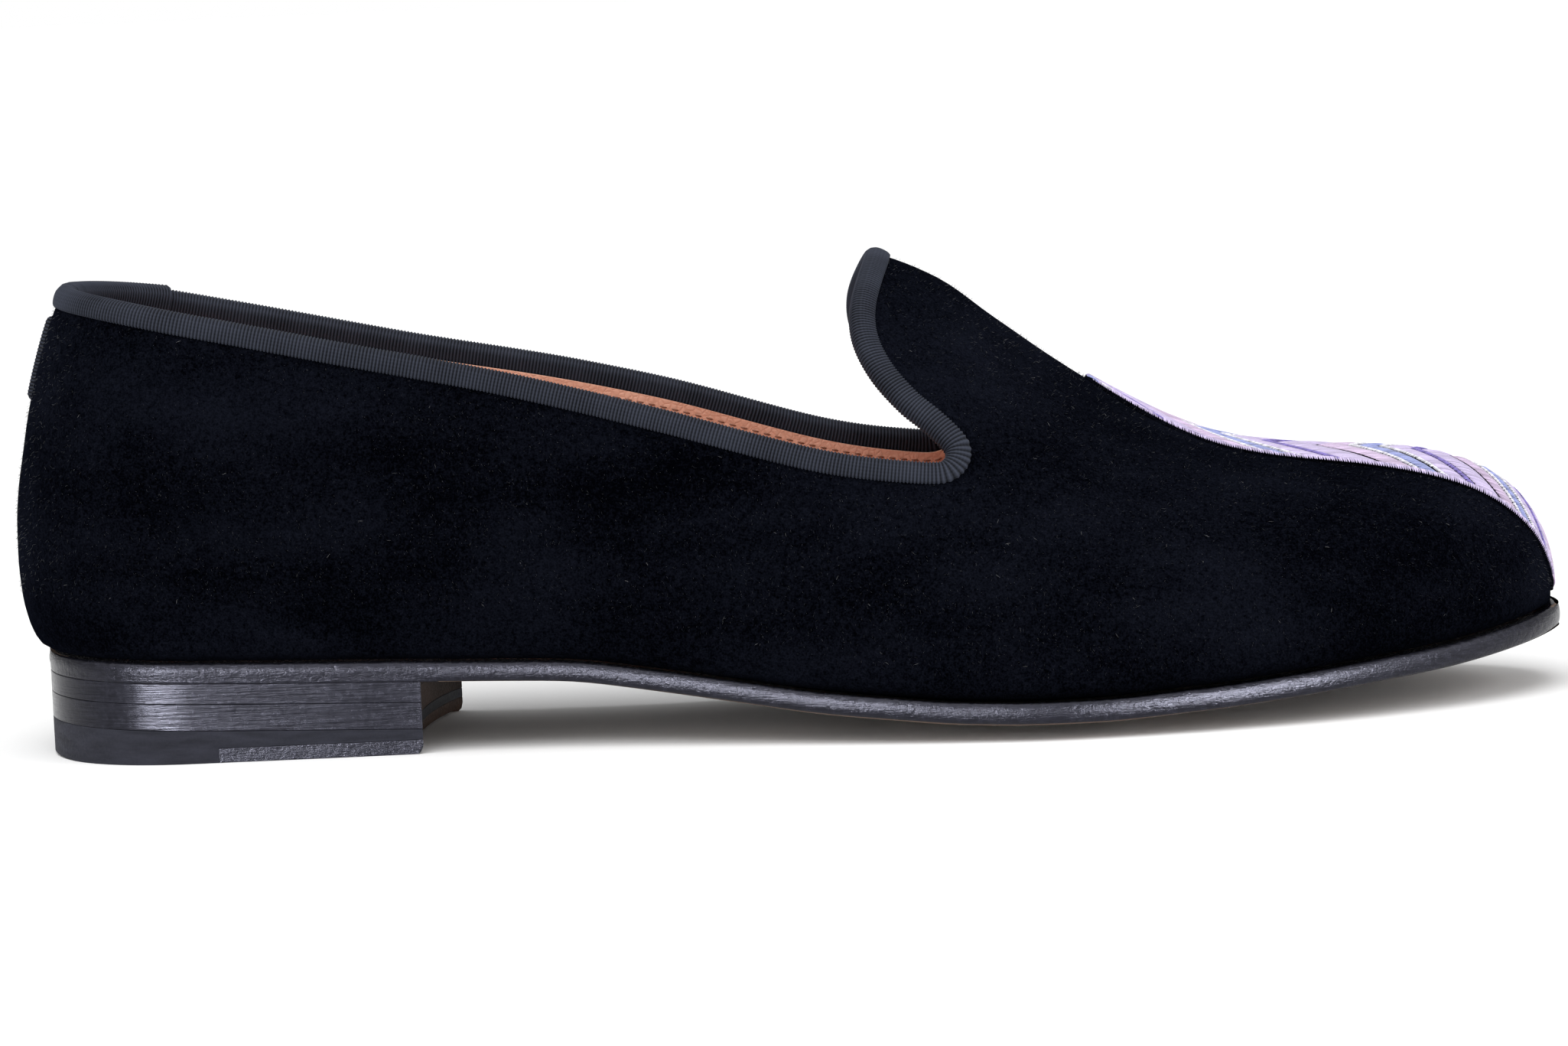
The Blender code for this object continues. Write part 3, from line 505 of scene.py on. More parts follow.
    def outline(self, along: Array, grow_back: float, grow_front: float) -> tuple[Array, ...]:
        """Outline of a sole layer.

        Args:
            along: shares of the length.
            grow_back: how far it reaches past the feather line at the heel.
            grow_front: how far it reaches past the feather line at the toe.

        Returns:
            Lengthwise place, middle and half width.
        """
        along = np.asarray(along, float)
        x = self.station_x(along) - grow_back * (1.0 - along) + grow_front * along
        grow = grow_back + (grow_front - grow_back) * smooth_step((along - 0.25) / 0.35)
        half = self.plan_half(along)
        fade = np.clip(half / (4 * np.abs(grow)), 0.0, 1.0)
        return x, self.plan_middle(along), half + grow * fade


def repair(mesh: bpy.types.Mesh, weld: float, outwards: bool) -> None:
    """Merge doubled points and turn the faces of a closed mesh outwards.

    Args:
        mesh: the mesh.
        weld: distance under which points are merged, or 0 to leave them as they are.
        outwards: whether to turn the faces.
    """
    work = bmesh.new()
    work.from_mesh(mesh)
    if weld > 0:
        bmesh.ops.remove_doubles(work, verts=work.verts, dist=weld)
        bmesh.ops.dissolve_degenerate(work, edges=work.edges, dist=SLIVER)
    if outwards:
        bmesh.ops.recalc_face_normals(work, faces=work.faces)
        if work.calc_volume(signed=True) < 0:
            bmesh.ops.reverse_faces(work, faces=work.faces)
    work.to_mesh(mesh)
    work.free()


def mesh_object(name: str, points: Array, faces: Faces, weld: bool = True,
                sharp: float = SHARP) -> Shape:
    """Make a smooth mesh object.

    Args:
        name: the object's name.
        points: rows of three.
        faces: indices of each face's corners.
        weld: merge doubles and turn the faces of a closed shape outwards.
        sharp: edges over this angle, in degrees, stay sharp.

    Returns:
        The object, linked to the scene.
    """
    mesh = bpy.data.meshes.new(name)
    mesh.from_pydata([tuple(p) for p in np.asarray(points)], [], faces)
    if weld:
        repair(mesh, WELD, True)
    mesh.shade_smooth()
    mesh.set_sharp_from_angle(angle=math.radians(sharp))
    shape = bpy.data.objects.new(name, mesh)
    bpy.context.scene.collection.objects.link(shape)
    return shape


def grid_faces(rows: int, columns: int, close_rows: bool = False, close_columns: bool = False) -> Faces:
    """Faces of a grid of points.

    Args:
        rows: number of rows.
        columns: number of points in a row.
        close_rows: join the last row to the first.
        close_columns: join the last point of a row to the first.

    Returns:
        Four corners for each face.
    """
    faces = []
    for i in range(rows if close_rows else rows - 1):
        j = (i + 1) % rows
        for k in range(columns if close_columns else columns - 1):
            n = (k + 1) % columns
            faces.append((i * columns + k, j * columns + k, j * columns + n, i * columns + n))
    return faces


def tube_faces(rows: int, columns: int) -> Faces:
    """Faces of a tube of rings with a lid on each end."""
    last = (rows - 1) * columns
    return grid_faces(rows, columns, False, True) + [tuple(range(columns)),
                                                     tuple(range(last, last + columns))]


def outward(ring: Array) -> Array:
    """Outward direction at each point of a flat closed outline."""
    run = np.roll(ring, -1, axis=0) - np.roll(ring, 1, axis=0)
    return unit(np.stack([run[:, 1], -run[:, 0]], axis=1))


def gap_squared(points: Array, line: Array) -> Array:
    """Squared distance from each point to the nearest point of a line."""
    gap = np.full(len(points), np.inf)
    for place in line:
        gap = np.minimum(gap, np.sum((points - place) ** 2, axis=1))
    return gap


def inside_border(points: Array, border: Array) -> Array:
    """Tell which flat points lie inside a closed border.

    Args:
        points: rows of two.
        border: corners of the border, rows of two.

    Returns:
        True for each point inside.
    """
    within = np.zeros(len(points), bool)
    for a, b in zip(border, np.roll(border, -1, axis=0), strict=True):
        if a[1] != b[1]:
            level = (points[:, 1] >= min(a[1], b[1])) & (points[:, 1] < max(a[1], b[1]))
            cross = a[0] + (points[:, 1] - a[1]) * (b[0] - a[0]) / (b[1] - a[1])
            within ^= level & (points[:, 0] < cross)
    return within


def bake_modifiers(shape: Shape) -> Shape:
    """Turn an object's modifiers into plain mesh, and remove them.

    Args:
        shape: the object.

    Returns:
        The same object.
    """
    graph = bpy.context.evaluated_depsgraph_get()
    mesh = bpy.data.meshes.new_from_object(shape.evaluated_get(graph))
    mesh.name = shape.name
    shape.modifiers.clear()
    shape.data = mesh
    return shape


def point_values(shape: Shape, name: str, kind: str, values: Array) -> None:
    """Store one value for each point of a mesh.

    Args:
        shape: the mesh object.
        name: the attribute's name.
        kind: FLOAT, FLOAT_VECTOR or FLOAT_COLOR.
        values: one row for each point.
    """
    layer = shape.data.attributes.new(name, kind, "POINT")
    key = {"FLOAT": "value", "FLOAT_VECTOR": "vector", "FLOAT_COLOR": "color"}[kind]
    layer.data.foreach_set(key, np.asarray(values, np.float32).ravel())


class NodeWriter:
    """Adds and joins the nodes of one tree."""

    def __init__(self, tree: Tree) -> None:
        """Keep the tree."""
        self.tree = tree

    def add(self, kind: str, inputs: dict | None = None, **settings: object) -> bpy.types.Node:
        """Add a node.

        Args:
            kind: the node's type.
            inputs: value or socket for each input, by name or number.
            settings: properties to set on the node.

        Returns:
            The node.
        """
        node = self.tree.nodes.new(kind)
        for name, value in settings.items():
            setattr(node, name, value)
        for key, value in (inputs or {}).items():
            if isinstance(value, Socket):
                self.tree.links.new(value, node.inputs[key])
            else:
                node.inputs[key].default_value = value
        return node

    def math(self, operation: str, *values: object) -> Socket:
        """Result of a Math node on up to three values or sockets."""
        return self.add("ShaderNodeMath", dict(enumerate(values)), operation=operation).outputs[0]

    def blend(self, first: Socket, part: float, second: Socket,
              other: float) -> Socket:
        """Sum of two values, each times its part.

        Args:
            first: the first value.
            part: what it is multiplied by.
            second: the second value.
            other: what that is multiplied by.

        Returns:
            The sum.
        """
        return self.math("ADD", self.math("MULTIPLY", first, part),
                         self.math("MULTIPLY", second, other))

    def stored(self, name: str) -> Socket:
        """Number that the mesh carries under a name."""
        return self.add("ShaderNodeAttribute", attribute_name=name).outputs["Fac"]

    def named(self, name: str, kind: str) -> Socket:
        """Attribute that a Geometry Nodes tree reads under a name."""
        return self.add("GeometryNodeInputNamedAttribute", {"Name": name}, data_type=kind).outputs[0]

    def noise(self, where: Socket, scale: float, detail: float = 3.0,
              roughness: float = 0.55) -> Socket:
        """Noise read at a place."""
        node = self.add("ShaderNodeTexNoise", {"Vector": where, "Scale": scale, "Detail": detail,
                                               "Roughness": roughness})
        return node.outputs["Fac"]

    def ramp(self, value: Socket, low: float, high: float, first: Colour,
             second: Colour) -> Socket:
        """Colour that goes from first to second as a value goes from low to high.

        Args:
            value: the value.
            low: where the change starts.
            high: where it ends.
            first: colour below it.
            second: colour above it.

        Returns:
            The colour.
        """
        node = self.add("ShaderNodeValToRGB", {"Fac": value})
        stops = node.color_ramp.elements
        stops[0].position, stops[1].position = low, high
        stops[0].color = (*first, 1.0)
        stops[1].color = (*second, 1.0)
        return node.outputs["Color"]

    def span(self, value: Socket, low: float, high: float, first: float,
             second: float) -> Socket:
        """Number that goes from first to second as a value goes from low to high."""
        inputs = {0: value, 1: low, 2: high, 3: first, 4: second}
        return self.add("ShaderNodeMapRange", inputs).outputs[0]

    def stretched(self, scale: Triple = (1.0, 1.0, 1.0)) -> Socket:
        """Object coordinates stretched along the axes."""
        coordinates = self.add("ShaderNodeTexCoord").outputs["Object"]
        return self.add("ShaderNodeMapping", {"Vector": coordinates, "Scale": scale}).outputs[0]

    def bump(self, height: Socket, strength: float, distance: float,
             under: Socket | None = None) -> Socket:
        """Normal bumped by a height, over another bump where one is given.

        Args:
            height: the height.
            strength: share of the bump.
            distance: height of the relief in metres.
            under: normal of the bump below.

        Returns:
            The normal.
        """
        inputs = {"Height": height, "Strength": strength, "Distance": distance}
        if under is not None:
            inputs["Normal"] = under
        return self.add("ShaderNodeBump", inputs).outputs[0]


def start_tree(name: str, inputs: dict[str, str]) -> NodeWriter:
    """Start a Geometry Nodes tree that takes and gives one geometry.

    Args:
        name: the tree's name.
        inputs: its other named inputs, each with its kind.

    Returns:
        A writer on the tree.
    """
    tree = bpy.data.node_groups.new(name, "GeometryNodeTree")
    for title, kind in {"Geometry": "Geometry", **inputs}.items():
        tree.interface.new_socket(title, in_out="INPUT", socket_type="NodeSocket" + kind)
    tree.interface.new_socket("Geometry", in_out="OUTPUT", socket_type="NodeSocketGeometry")
    return NodeWriter(tree)


def finish_tree(nodes: NodeWriter, geometry: Socket,
                material: Socket) -> Tree:
    """End a tree in Realize Instances and Set Material.

    Args:
        nodes: the writer on the tree.
        geometry: what the tree has made.
        material: the material that it is given.

    Returns:
        The tree.
    """
    whole = nodes.add("GeometryNodeRealizeInstances", {"Geometry": geometry})
    dressed = nodes.add("GeometryNodeSetMaterial", {"Geometry": whole.outputs[0], "Material": material})
    nodes.add("NodeGroupOutput", {"Geometry": dressed.outputs[0]})
    return nodes.tree


def run_tree(shape: Shape, tree: Tree, values: dict[str, object]) -> None:
    """Run a tree on an object and keep the result as plain smooth mesh.

    Args:
        shape: the object.
        tree: the tree.
        values: value of each named input.
    """
    modifier = shape.modifiers.new(tree.name, "NODES")
    modifier.node_group = tree
    for item in tree.interface.items_tree:
        if item.in_out == "INPUT" and item.name in values:
            modifier[item.identifier] = values[item.name]
    bake_modifiers(shape)
    shape.data.shade_smooth()


@dataclass(frozen=True)
class Finish:
    """A finish that is laid on a piece. Each kind fills in its own nodes."""

    name: str

    def build(self) -> Material:
        """Make the material.

        Returns:
            The material.
        """
        material = bpy.data.materials.new(self.name)
        material.use_nodes = True
        surface = material.node_tree.nodes["Principled BSDF"]
        self.dress(NodeWriter(material.node_tree), surface.inputs)
        return material

    def dress(self, nodes: NodeWriter, surface: Inputs) -> None:
        """Fill in the surface's inputs.

        Args:
            nodes: writer on the material's tree.
            surface: the shader's inputs.
        """
        raise NotImplementedError

    @staticmethod
    def join(nodes: NodeWriter, surface: Inputs, **sockets: object) -> None:
        """Set or link the shader's inputs; the words of a name are joined by underscores.

        Args:
            nodes: writer on the material's tree.
            surface: the shader's inputs.
            sockets: value or socket for each input.
        """
        for word, value in sockets.items():
            target = surface[word.replace("_", " ")]
            if isinstance(value, Socket):
                nodes.tree.links.new(value, target)
            else:
                target.default_value = value


@dataclass(frozen=True)
class VelvetFinish(Finish):
    """Short dense pile, brushed in soft patches whose lighter colour is painted sheen."""

    # deep and lit span the pile's random tone and the painted sheen of the lighter patches.
    deep: Colour = (0.0004, 0.0005, 0.0011)
    lit: Colour = (0.0052, 0.0061, 0.0102)
    sheen: Colour = (0.30, 0.36, 0.62)
    pile_scale: float = 2600.0
    patch_scale: float = 34.0

    def dress(self, nodes: NodeWriter, surface: Inputs) -> None:
        """Brushed patches lighter in colour as painted sheen, tufts of pile in random tone and a bluish
        sheen at grazing angles.
        """
        place = nodes.stretched()
        brushing_and_painted_sheen = nodes.noise(nodes.stretched((0.7, 1.0, 1.5)), self.patch_scale, 4.0)
        tuft = nodes.noise(place, self.pile_scale, 2.0, 0.7)
        clump = nodes.noise(place, self.pile_scale / 2.6, 3.0, 0.65)
        fine = nodes.blend(tuft, 0.6, clump, 0.4)
        # The soft patches lighten the colour as painted sheen of brushed pile; the tufts are random
        # tone.
        mixed = nodes.blend(brushing_and_painted_sheen, 0.36, fine, 0.64)
        under = nodes.bump(clump, 0.8, 0.0005)
        self.join(nodes, surface, Base_Color=nodes.ramp(mixed, 0.43, 0.62, self.deep, self.lit),
                  Roughness=nodes.span(brushing_and_painted_sheen, 0.35, 0.65, 0.95, 0.78),
                  Normal=nodes.bump(tuft, 0.9, 0.00035, under), Sheen_Weight=0.016,
                  Sheen_Roughness=0.34, Sheen_Tint=(*self.sheen, 1.0), Specular_IOR_Level=0.0)


@dataclass(frozen=True)
class TapeFinish(Finish):
    """Ribbed tape: the ribs are in the mesh, and fine threads cross them."""

    # deep is painted shade in the rib valleys and lit is painted light on the rib tops.
    deep: Colour = (0.0015, 0.0017, 0.0027)
    lit: Colour = (0.037, 0.042, 0.059)

    def dress(self, nodes: NodeWriter, surface: Inputs) -> None:
        """Painted light on the rib tops, painted shade in the valleys, and fine threads along the tape.
        """
        place = nodes.stretched()
        fibre = nodes.noise(place, 3800.0, 2.0, 0.7)
        worn = nodes.noise(place, 120.0, 3.0)
        rib = nodes.stored("rib")
        thread = nodes.stored("thread")
        # Rib and thread crests lighten the colour and the valleys darken it: painted light and shade;
        # worn adds random tone.
        painted_rib_light_and_shade = nodes.blend(rib, 0.66, thread, 0.18)
        shade = nodes.math("ADD", painted_rib_light_and_shade, nodes.math("MULTIPLY", worn, 0.40))
        self.join(nodes, surface, Base_Color=nodes.ramp(shade, 0.26, 0.98, self.deep, self.lit),
                  Roughness=nodes.span(fibre, 0.3, 0.7, 0.62, 0.82), Sheen_Weight=0.03,
                  Sheen_Roughness=0.4, Specular_IOR_Level=0.08,
                  Normal=nodes.bump(fibre, 0.5, 0.00012, nodes.bump(thread, 0.6, 0.00008)))


@dataclass(frozen=True)
class LeatherFinish(Finish):
    """Smooth leather with pores, creased grain and soft colour changes."""

    deep: Colour = (0.60, 0.290, 0.195)
    lit: Colour = (0.76, 0.43, 0.315)
    grain_scale: float = 900.0
    gloss: float = 0.52
    shine: float = 0.4
    relief: float = 0.00012

    def dress(self, nodes: NodeWriter, surface: Inputs) -> None:
        """Cells of grain under pores, with cloudy colour and painted shade along the grain's creases."""
        place = nodes.stretched()
        cloud = nodes.noise(place, 45.0, 5.0, 0.6)
        cells = nodes.add("ShaderNodeTexVoronoi", {"Vector": place, "Scale": self.grain_scale},
                          feature="DISTANCE_TO_EDGE").outputs["Distance"]
        crease = nodes.span(cells, 0.0, 0.22, 0.0, 1.0)
        pores = nodes.noise(place, self.grain_scale * 2.6, 2.0)
        # The creases darken the colour: painted shade; the cloud is random tone.
        shade = nodes.blend(cloud, 0.85, crease, 0.15)
        under = nodes.bump(crease, 0.45, self.relief)
        self.join(nodes, surface, Base_Color=nodes.ramp(shade, 0.34, 0.74, self.deep, self.lit),
                  Roughness=nodes.span(pores, 0.3, 0.7, self.gloss - 0.08, self.gloss + 0.1),
                  Specular_IOR_Level=self.shine, Normal=nodes.bump(pores, 0.3, self.relief * 0.6, under))


@dataclass(frozen=True)
class PaintedEdgeFinish(Finish):
    """Black edge dressing over leather fibres, semi-gloss and a little mottled."""

    paint: Colour = (0.0012, 0.0012, 0.0018)
    worn: Colour = (0.0052, 0.0052, 0.0075)
    tint: Colour = (0.80, 0.81, 1.0)
    mottle_scale: float = 920.0
    mottle_relief: float = 0.00034
    line_scale: float = 420.0
    line_flatness: float = 9.0
    line_relief: float = 0.00012
    gloss: float = 0.17

    def dress(self, nodes: NodeWriter, surface: Inputs) -> None:
        """Mottling, fine lines along the layers and uneven gloss."""
        place = nodes.stretched()
        mottle = nodes.noise(place, self.mottle_scale, 4.0, 0.65)
        lines = nodes.noise(nodes.stretched((1.0, 1.0, self.line_flatness)), self.line_scale, 3.0, 0.6)
        both = nodes.blend(mottle, 0.5, lines, 0.5)
        under = nodes.bump(lines, 0.6, self.line_relief)
        self.join(nodes, surface, Base_Color=nodes.ramp(both, 0.40, 0.72, self.paint, self.worn),
                  Roughness=nodes.span(both, 0.35, 0.65, self.gloss, self.gloss + 0.14),
                  Specular_IOR_Level=0.20, Specular_Tint=(*self.tint, 1.0),
                  Normal=nodes.bump(mottle, 0.5, self.mottle_relief, under))


@dataclass(frozen=True)
class RubberFinish(Finish):
    """Matt rubber with a fine moulded grain."""

    deep: Colour = (0.0130, 0.0138, 0.0205)
    lit: Colour = (0.0250, 0.0260, 0.0375)

    def dress(self, nodes: NodeWriter, surface: Inputs) -> None:
        """Fine grain and a few dusty marks."""
        place = nodes.stretched()
        grain = nodes.noise(place, 1900.0, 2.0, 0.6)
        dust = nodes.noise(nodes.stretched((1.0, 1.0, 5.0)), 130.0, 4.0)
        self.join(nodes, surface, Base_Color=nodes.ramp(dust, 0.35, 0.7, self.deep, self.lit),
                  Roughness=nodes.span(grain, 0.3, 0.7, 0.60, 0.80), Specular_IOR_Level=0.2,
                  Normal=nodes.bump(grain, 0.4, 0.00012))


@dataclass(frozen=True)
class ThreadFinish(Finish):
    """Satin thread in the colour that each thread carries."""

    def dress(self, nodes: NodeWriter, surface: Inputs) -> None:
        """The thread's own colour, a little uneven, with a silky gloss."""
        place = nodes.stretched()
        fibre = nodes.noise(place, 5200.0, 2.0, 0.7)
        colour = nodes.add("ShaderNodeAttribute", attribute_name="thread_colour").outputs["Color"]
        uneven = nodes.add("ShaderNodeHueSaturation", {"Value": nodes.span(fibre, 0.3, 0.7, 0.82, 1.12),
                                                       "Color": colour}).outputs["Color"]
        self.join(nodes, surface, Base_Color=uneven, Roughness=nodes.span(fibre, 0.3, 0.7, 0.34, 0.52),
                  Sheen_Weight=0.25, Sheen_Roughness=0.3, Normal=nodes.bump(fibre, 0.35, 0.00008))


@dataclass(frozen=True)
class FloorFinish(Finish):
    """Plain pale paper."""

    shade: Colour = (0.90, 0.90, 0.90)

    def dress(self, nodes: NodeWriter, surface: Inputs) -> None:
        """Almost even white, with the faintest tooth."""
        tooth = nodes.noise(nodes.stretched(), 900.0)
        dim = tuple(part * 0.985 for part in self.shade)
        self.join(nodes, surface, Base_Color=nodes.ramp(tooth, 0.3, 0.7, dim, self.shade), Roughness=0.8,
                  Normal=nodes.bump(tooth, 0.05, 0.0001))


def keep(shape: Shape, slot: str, finish: Material | None, *nodes: str) -> Shape:
    """Give a finished piece its material where one is given, hang it under the root and hide the solids
    that it stands for.

    Args:
        shape: the piece.
        slot: the record's material slot; not used.
        finish: its material, or None where the mesh already has its own.
        nodes: solids that it stands for.

    Returns:
        The piece.
    """
    if finish is not None:
        shape.data.materials.clear()
        shape.data.materials.append(finish)
    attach(shape, "root")
    if nodes:
        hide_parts(*nodes)
    LOG.info("%s: %d faces", shape.name, len(shape.data.polygons))
    return shape


@dataclass(frozen=True)
class Trough:
    """A soft crease laid on the wall.

    start and end are shares of the length and of the turn; depth is negative for a ridge.
    """

    side: Side
    start: Pair
    end: Pair
    width: float
    depth: float


CREASES = (
    Trough(Side.OUTER, (0.50, 0.22), (0.60, 0.34), 0.0085, 0.0006),
    Trough(Side.OUTER, (0.60, 0.20), (0.71, 0.42), 0.0100, 0.0007),
    Trough(Side.OUTER, (0.66, 0.55), (0.72, 0.90), 0.0090, 0.0006),
    Trough(Side.OUTER, (0.18, 0.55), (0.33, 0.38), 0.0110, 0.0006),
    Trough(Side.OUTER, (0.08, 0.30), (0.22, 0.20), 0.0080, -0.0004),
    Trough(Side.INNER, (0.40, 0.30), (0.54, 0.26), 0.0100, 0.0007),
    Trough(Side.INNER, (0.58, 0.24), (0.70, 0.46), 0.0095, 0.0006),
    Trough(Side.INNER, (0.16, 0.50), (0.30, 0.36), 0.0100, 0.0005),
)


@dataclass(frozen=True)
class ThreadLayer:
    """Lays copies of one short thread, for satin stitch, seams and stray fibres."""

    radius: float = 0.00021
    arch: float = 0.00030
    sides: int = 6
    steps: int = 4

    def thread_shape(self) -> Shape:
        """One thread of length one, arched and tapered at its ends.

        Returns:
            The thread, to be laid and then removed.
        """
        points = []
        for share in np.linspace(0.0, 1.0, self.steps + 1):
            radius = self.radius * (0.45 + 0.55 * math.sin(math.pi * share) ** 0.5)
            lift = self.arch * math.sin(math.pi * share)
            for angle in np.linspace(0.0, 2 * math.pi, self.sides, endpoint=False):
                points.append((share - 0.5, radius * math.cos(angle),
                               lift + radius * 0.8 * math.sin(angle)))
        return mesh_object("one_thread", np.array(points), tube_faces(self.steps + 1, self.sides),
                           sharp=80.0)

    @staticmethod
    def tree() -> Tree:
        """Geometry Nodes that lay a thread on each point along its heading.

        Returns:
            The tree.
        """
        nodes = start_tree("laid threads", {"Thread": "Object", "Thickness": "Float",
                                            "Material": "Material"})
        given = nodes.add("NodeGroupInput").outputs
        upright = nodes.add("FunctionNodeAlignRotationToVector",
                            {"Vector": nodes.named("facing", "FLOAT_VECTOR")}, axis="Z")
        turned = nodes.add("FunctionNodeAlignRotationToVector",
                           {"Rotation": upright.outputs[0],
                            "Vector": nodes.named("heading", "FLOAT_VECTOR")}, axis="X", pivot_axis="Z")
        size = nodes.add("ShaderNodeCombineXYZ", {"X": nodes.named("reach", "FLOAT"),
                                                  "Y": given["Thickness"], "Z": given["Thickness"]})
        shape = nodes.add("GeometryNodeObjectInfo", {"Object": given["Thread"]},
                          transform_space="ORIGINAL")
        laid = nodes.add("GeometryNodeInstanceOnPoints",
                         {"Points": given["Geometry"], "Instance": shape.outputs["Geometry"],
                          "Rotation": turned.outputs[0], "Scale": size.outputs[0]})
        return finish_tree(nodes, laid.outputs[0], given["Material"])

    def lay(self, name: str, centre: Array, heading: Array, facing: Array, reach: Array,
            colour: Array, silk: Material, thickness: float = 1.0) -> Shape:
        """Lay one thread at each place.

        Args:
            name: the piece's name.
            centre: middles of the threads, in the part's frame.
            heading: their directions.
            facing: the surface's normals under them.
            reach: their lengths.
            colour: their colours.
            silk: the material.
            thickness: share of the usual thickness.

        Returns:
            One plain mesh object.
        """
        points = mesh_object(name, centre, [], weld=False)
        point_values(points, "heading", "FLOAT_VECTOR", heading)
        point_values(points, "facing", "FLOAT_VECTOR", facing)
        point_values(points, "reach", "FLOAT", reach)
        point_values(points, "thread_colour", "FLOAT_COLOR",
                     np.column_stack([colour, np.ones(len(colour))]))
        thread = self.thread_shape()
        run_tree(points, self.tree(), {"Thread": thread, "Thickness": thickness, "Material": silk})
        bpy.data.objects.remove(thread)
        return points


@dataclass
class UpperShell:
    """Velvet upper and its leather lining."""

    form: LastForm
    rim_steps: int = 300
    velvet_grid: tuple[int, int] = (210, 60)
    lining_grid: tuple[int, int] = (130, 38)
    table_size: int = 3001
    clear: float = 0.4
    least_gap: float = 0.25
    skin: float = 0.0011
    velvet_drop: float = 0.0006
    lining_gap: float = 0.0002
    lining_drop: float = 0.0026
    lining_depth: float = 0.0036
    lining_thickness: float = 0.0006
    seam_drop: float = 0.0041
    stitch_pitch: float = 0.0023
    stitch_length: float = 0.0017
    crowding: float = 1.7
    tuck: float = 0.72
    draw_back: float = 1.8
    narrow: float = 0.012
    band: float = 0.006
    band_fade: float = 0.012
    crease_height: float = 0.075
    turn_in: tuple[float, ...] = (-30.0, -60.0, -90.0)
    seam_colour: Colour = (0.20, 0.075, 0.04)
    nap_lean: float = 0.55
    nap_reach: Pair = (0.00045, 0.00085)
    nap_tone: Pair = (0.002, 0.020)
    lint_reach: Pair = (0.0003, 0.0010)
    lint_tone: Pair = (0.03, 0.14)
    nap_drop: float = 0.0034
    nap_count: int = 12500
    lint_count: int = 260
    creases: tuple[Trough, ...] = CREASES

    def rim_heading(self, sweep: Array, turn: Array, side: Side) -> tuple[Array, Array]:
        """Directions along and away from the rim of one side.

        Args:
            sweep: sweep of the rim.
            turn: its turn.
            side: side of the foot.

        Returns:
            Both directions, in rows of three.
        """
        sign = side.value
        tangent = unit(np.gradient(self.form.wall(sweep, turn, sign), axis=0))
        facing = self.form.wall_normal(sweep, turn, np.full_like(sweep, sign))
        return tangent, unit(np.cross(tangent, facing)) * -sign

    def dropped_rim(self, side: Side, drop: float) -> tuple[Array, Array]:
        """The rim, or a line below it, from the back seam to the ridge.

        Args:
            side: side of the foot.
            drop: distance below the rim.

        Returns:
            Sweep and turn.
        """
        sweep, turn = self.form.rim(self.rim_steps)
        turn = self.form.rim_turn(sweep, turn, side.value)
        if drop <= 0.0:
            return sweep, turn
        _, down = self.rim_heading(sweep, turn, side)
        sweep, turn = self.form.wall_walk(sweep, turn, side.value, down, drop)
        over = np.flatnonzero((turn >= math.pi / 2) & (np.arange(len(turn)) > len(turn) // 2))
        last = int(over[0]) if len(over) else len(turn) - 1
        sweep, turn = sweep[:last + 1].copy(), turn[:last + 1].copy()
        sweep[0], turn[-1] = 0.0, math.pi / 2
        return np.clip(sweep, 0.0, 1.0), turn

    def triangles(self, side: Side, drop: float, columns: int,
                  rows: int) -> tuple[Array, Array, list[tuple[int, ...]]]:
        """Triangles over one side of the wall, clear of the opening.

        Args:
            side: side of the foot.
            drop: how far below the rim the wall starts.
            columns: steps from the back seam to the toe.
            rows: steps from the feather line to the ridge.

        Returns:
            Sweep and turn of each point, and the faces.
        """
        table = np.linspace(0.0, 1.0, self.table_size)
        spaced = math.pi / 2 * table ** (self.crowding - (self.crowding - 1.0) * table)
        sweep, turn = self.dropped_rim(side, drop)
        rim = np.column_stack([sweep * columns, np.interp(turn, spaced, table) * rows])
        ridge = np.arange(columns - 1, math.ceil(rim[-1, 0] + self.clear) - 1, -1)
        seam = np.arange(math.floor(rim[0, 1] - self.clear), 0, -1)
        border = np.vstack([
            np.column_stack([np.arange(columns + 1), np.zeros(columns + 1)]),
            np.column_stack([np.full(rows, columns), np.arange(1, rows + 1)]),
            np.column_stack([ridge, np.full(len(ridge), rows)]),
            rim[::-1],
            np.column_stack([np.zeros(len(seam)), seam])])
        inside = np.stack(np.meshgrid(np.arange(1, columns), np.arange(1, rows), indexing="ij"), -1)
        inside = inside.reshape(-1, 2).astype(float)
        kept = inside[inside_border(inside, border) & (gap_squared(inside, rim) > self.least_gap)]
        found = delaunay_2d_cdt([Vector(p) for p in np.vstack([border, kept])], [],
                                [list(range(len(border)))], 1, 1e-6)
        flat = np.array([tuple(p) for p in found[0]])
        faces = [tuple(face) if side is Side.OUTER else tuple(face)[::-1] for face in found[2]]
        return flat[:, 0] / columns, np.interp(flat[:, 1] / rows, table, spaced), faces

    def crease_depth(self, sweep: Array, turn: Array, side: Side) -> Array:
        """How far the listed creases push the wall in.

        Args:
            sweep: where to read them.
            turn: where to read them.
            side: side of the foot.

        Returns:
            A depth for each place.
        """
        form = self.form
        tall = self.crease_height
        place = np.stack([form.along(sweep) * form.length, turn / (math.pi / 2) * tall], axis=-1)
        depth = np.zeros(sweep.shape)
        for crease in self.creases:
            if crease.side is not side:
                continue
            start = np.array([crease.start[0] * form.length, crease.start[1] * tall])
            run = np.array([crease.end[0] * form.length, crease.end[1] * tall]) - start
            share = np.sum((place - start) * run, axis=-1) / np.sum(run * run)
            near = start + run * np.clip(share, 0.0, 1.0)[..., None]
            gap = np.linalg.norm(place - near, axis=-1)
            depth += crease.depth * np.exp(-(gap / crease.width) ** 2)
        return depth * np.clip(np.sin(2 * turn) * 2.2, 0.0, 1.0)

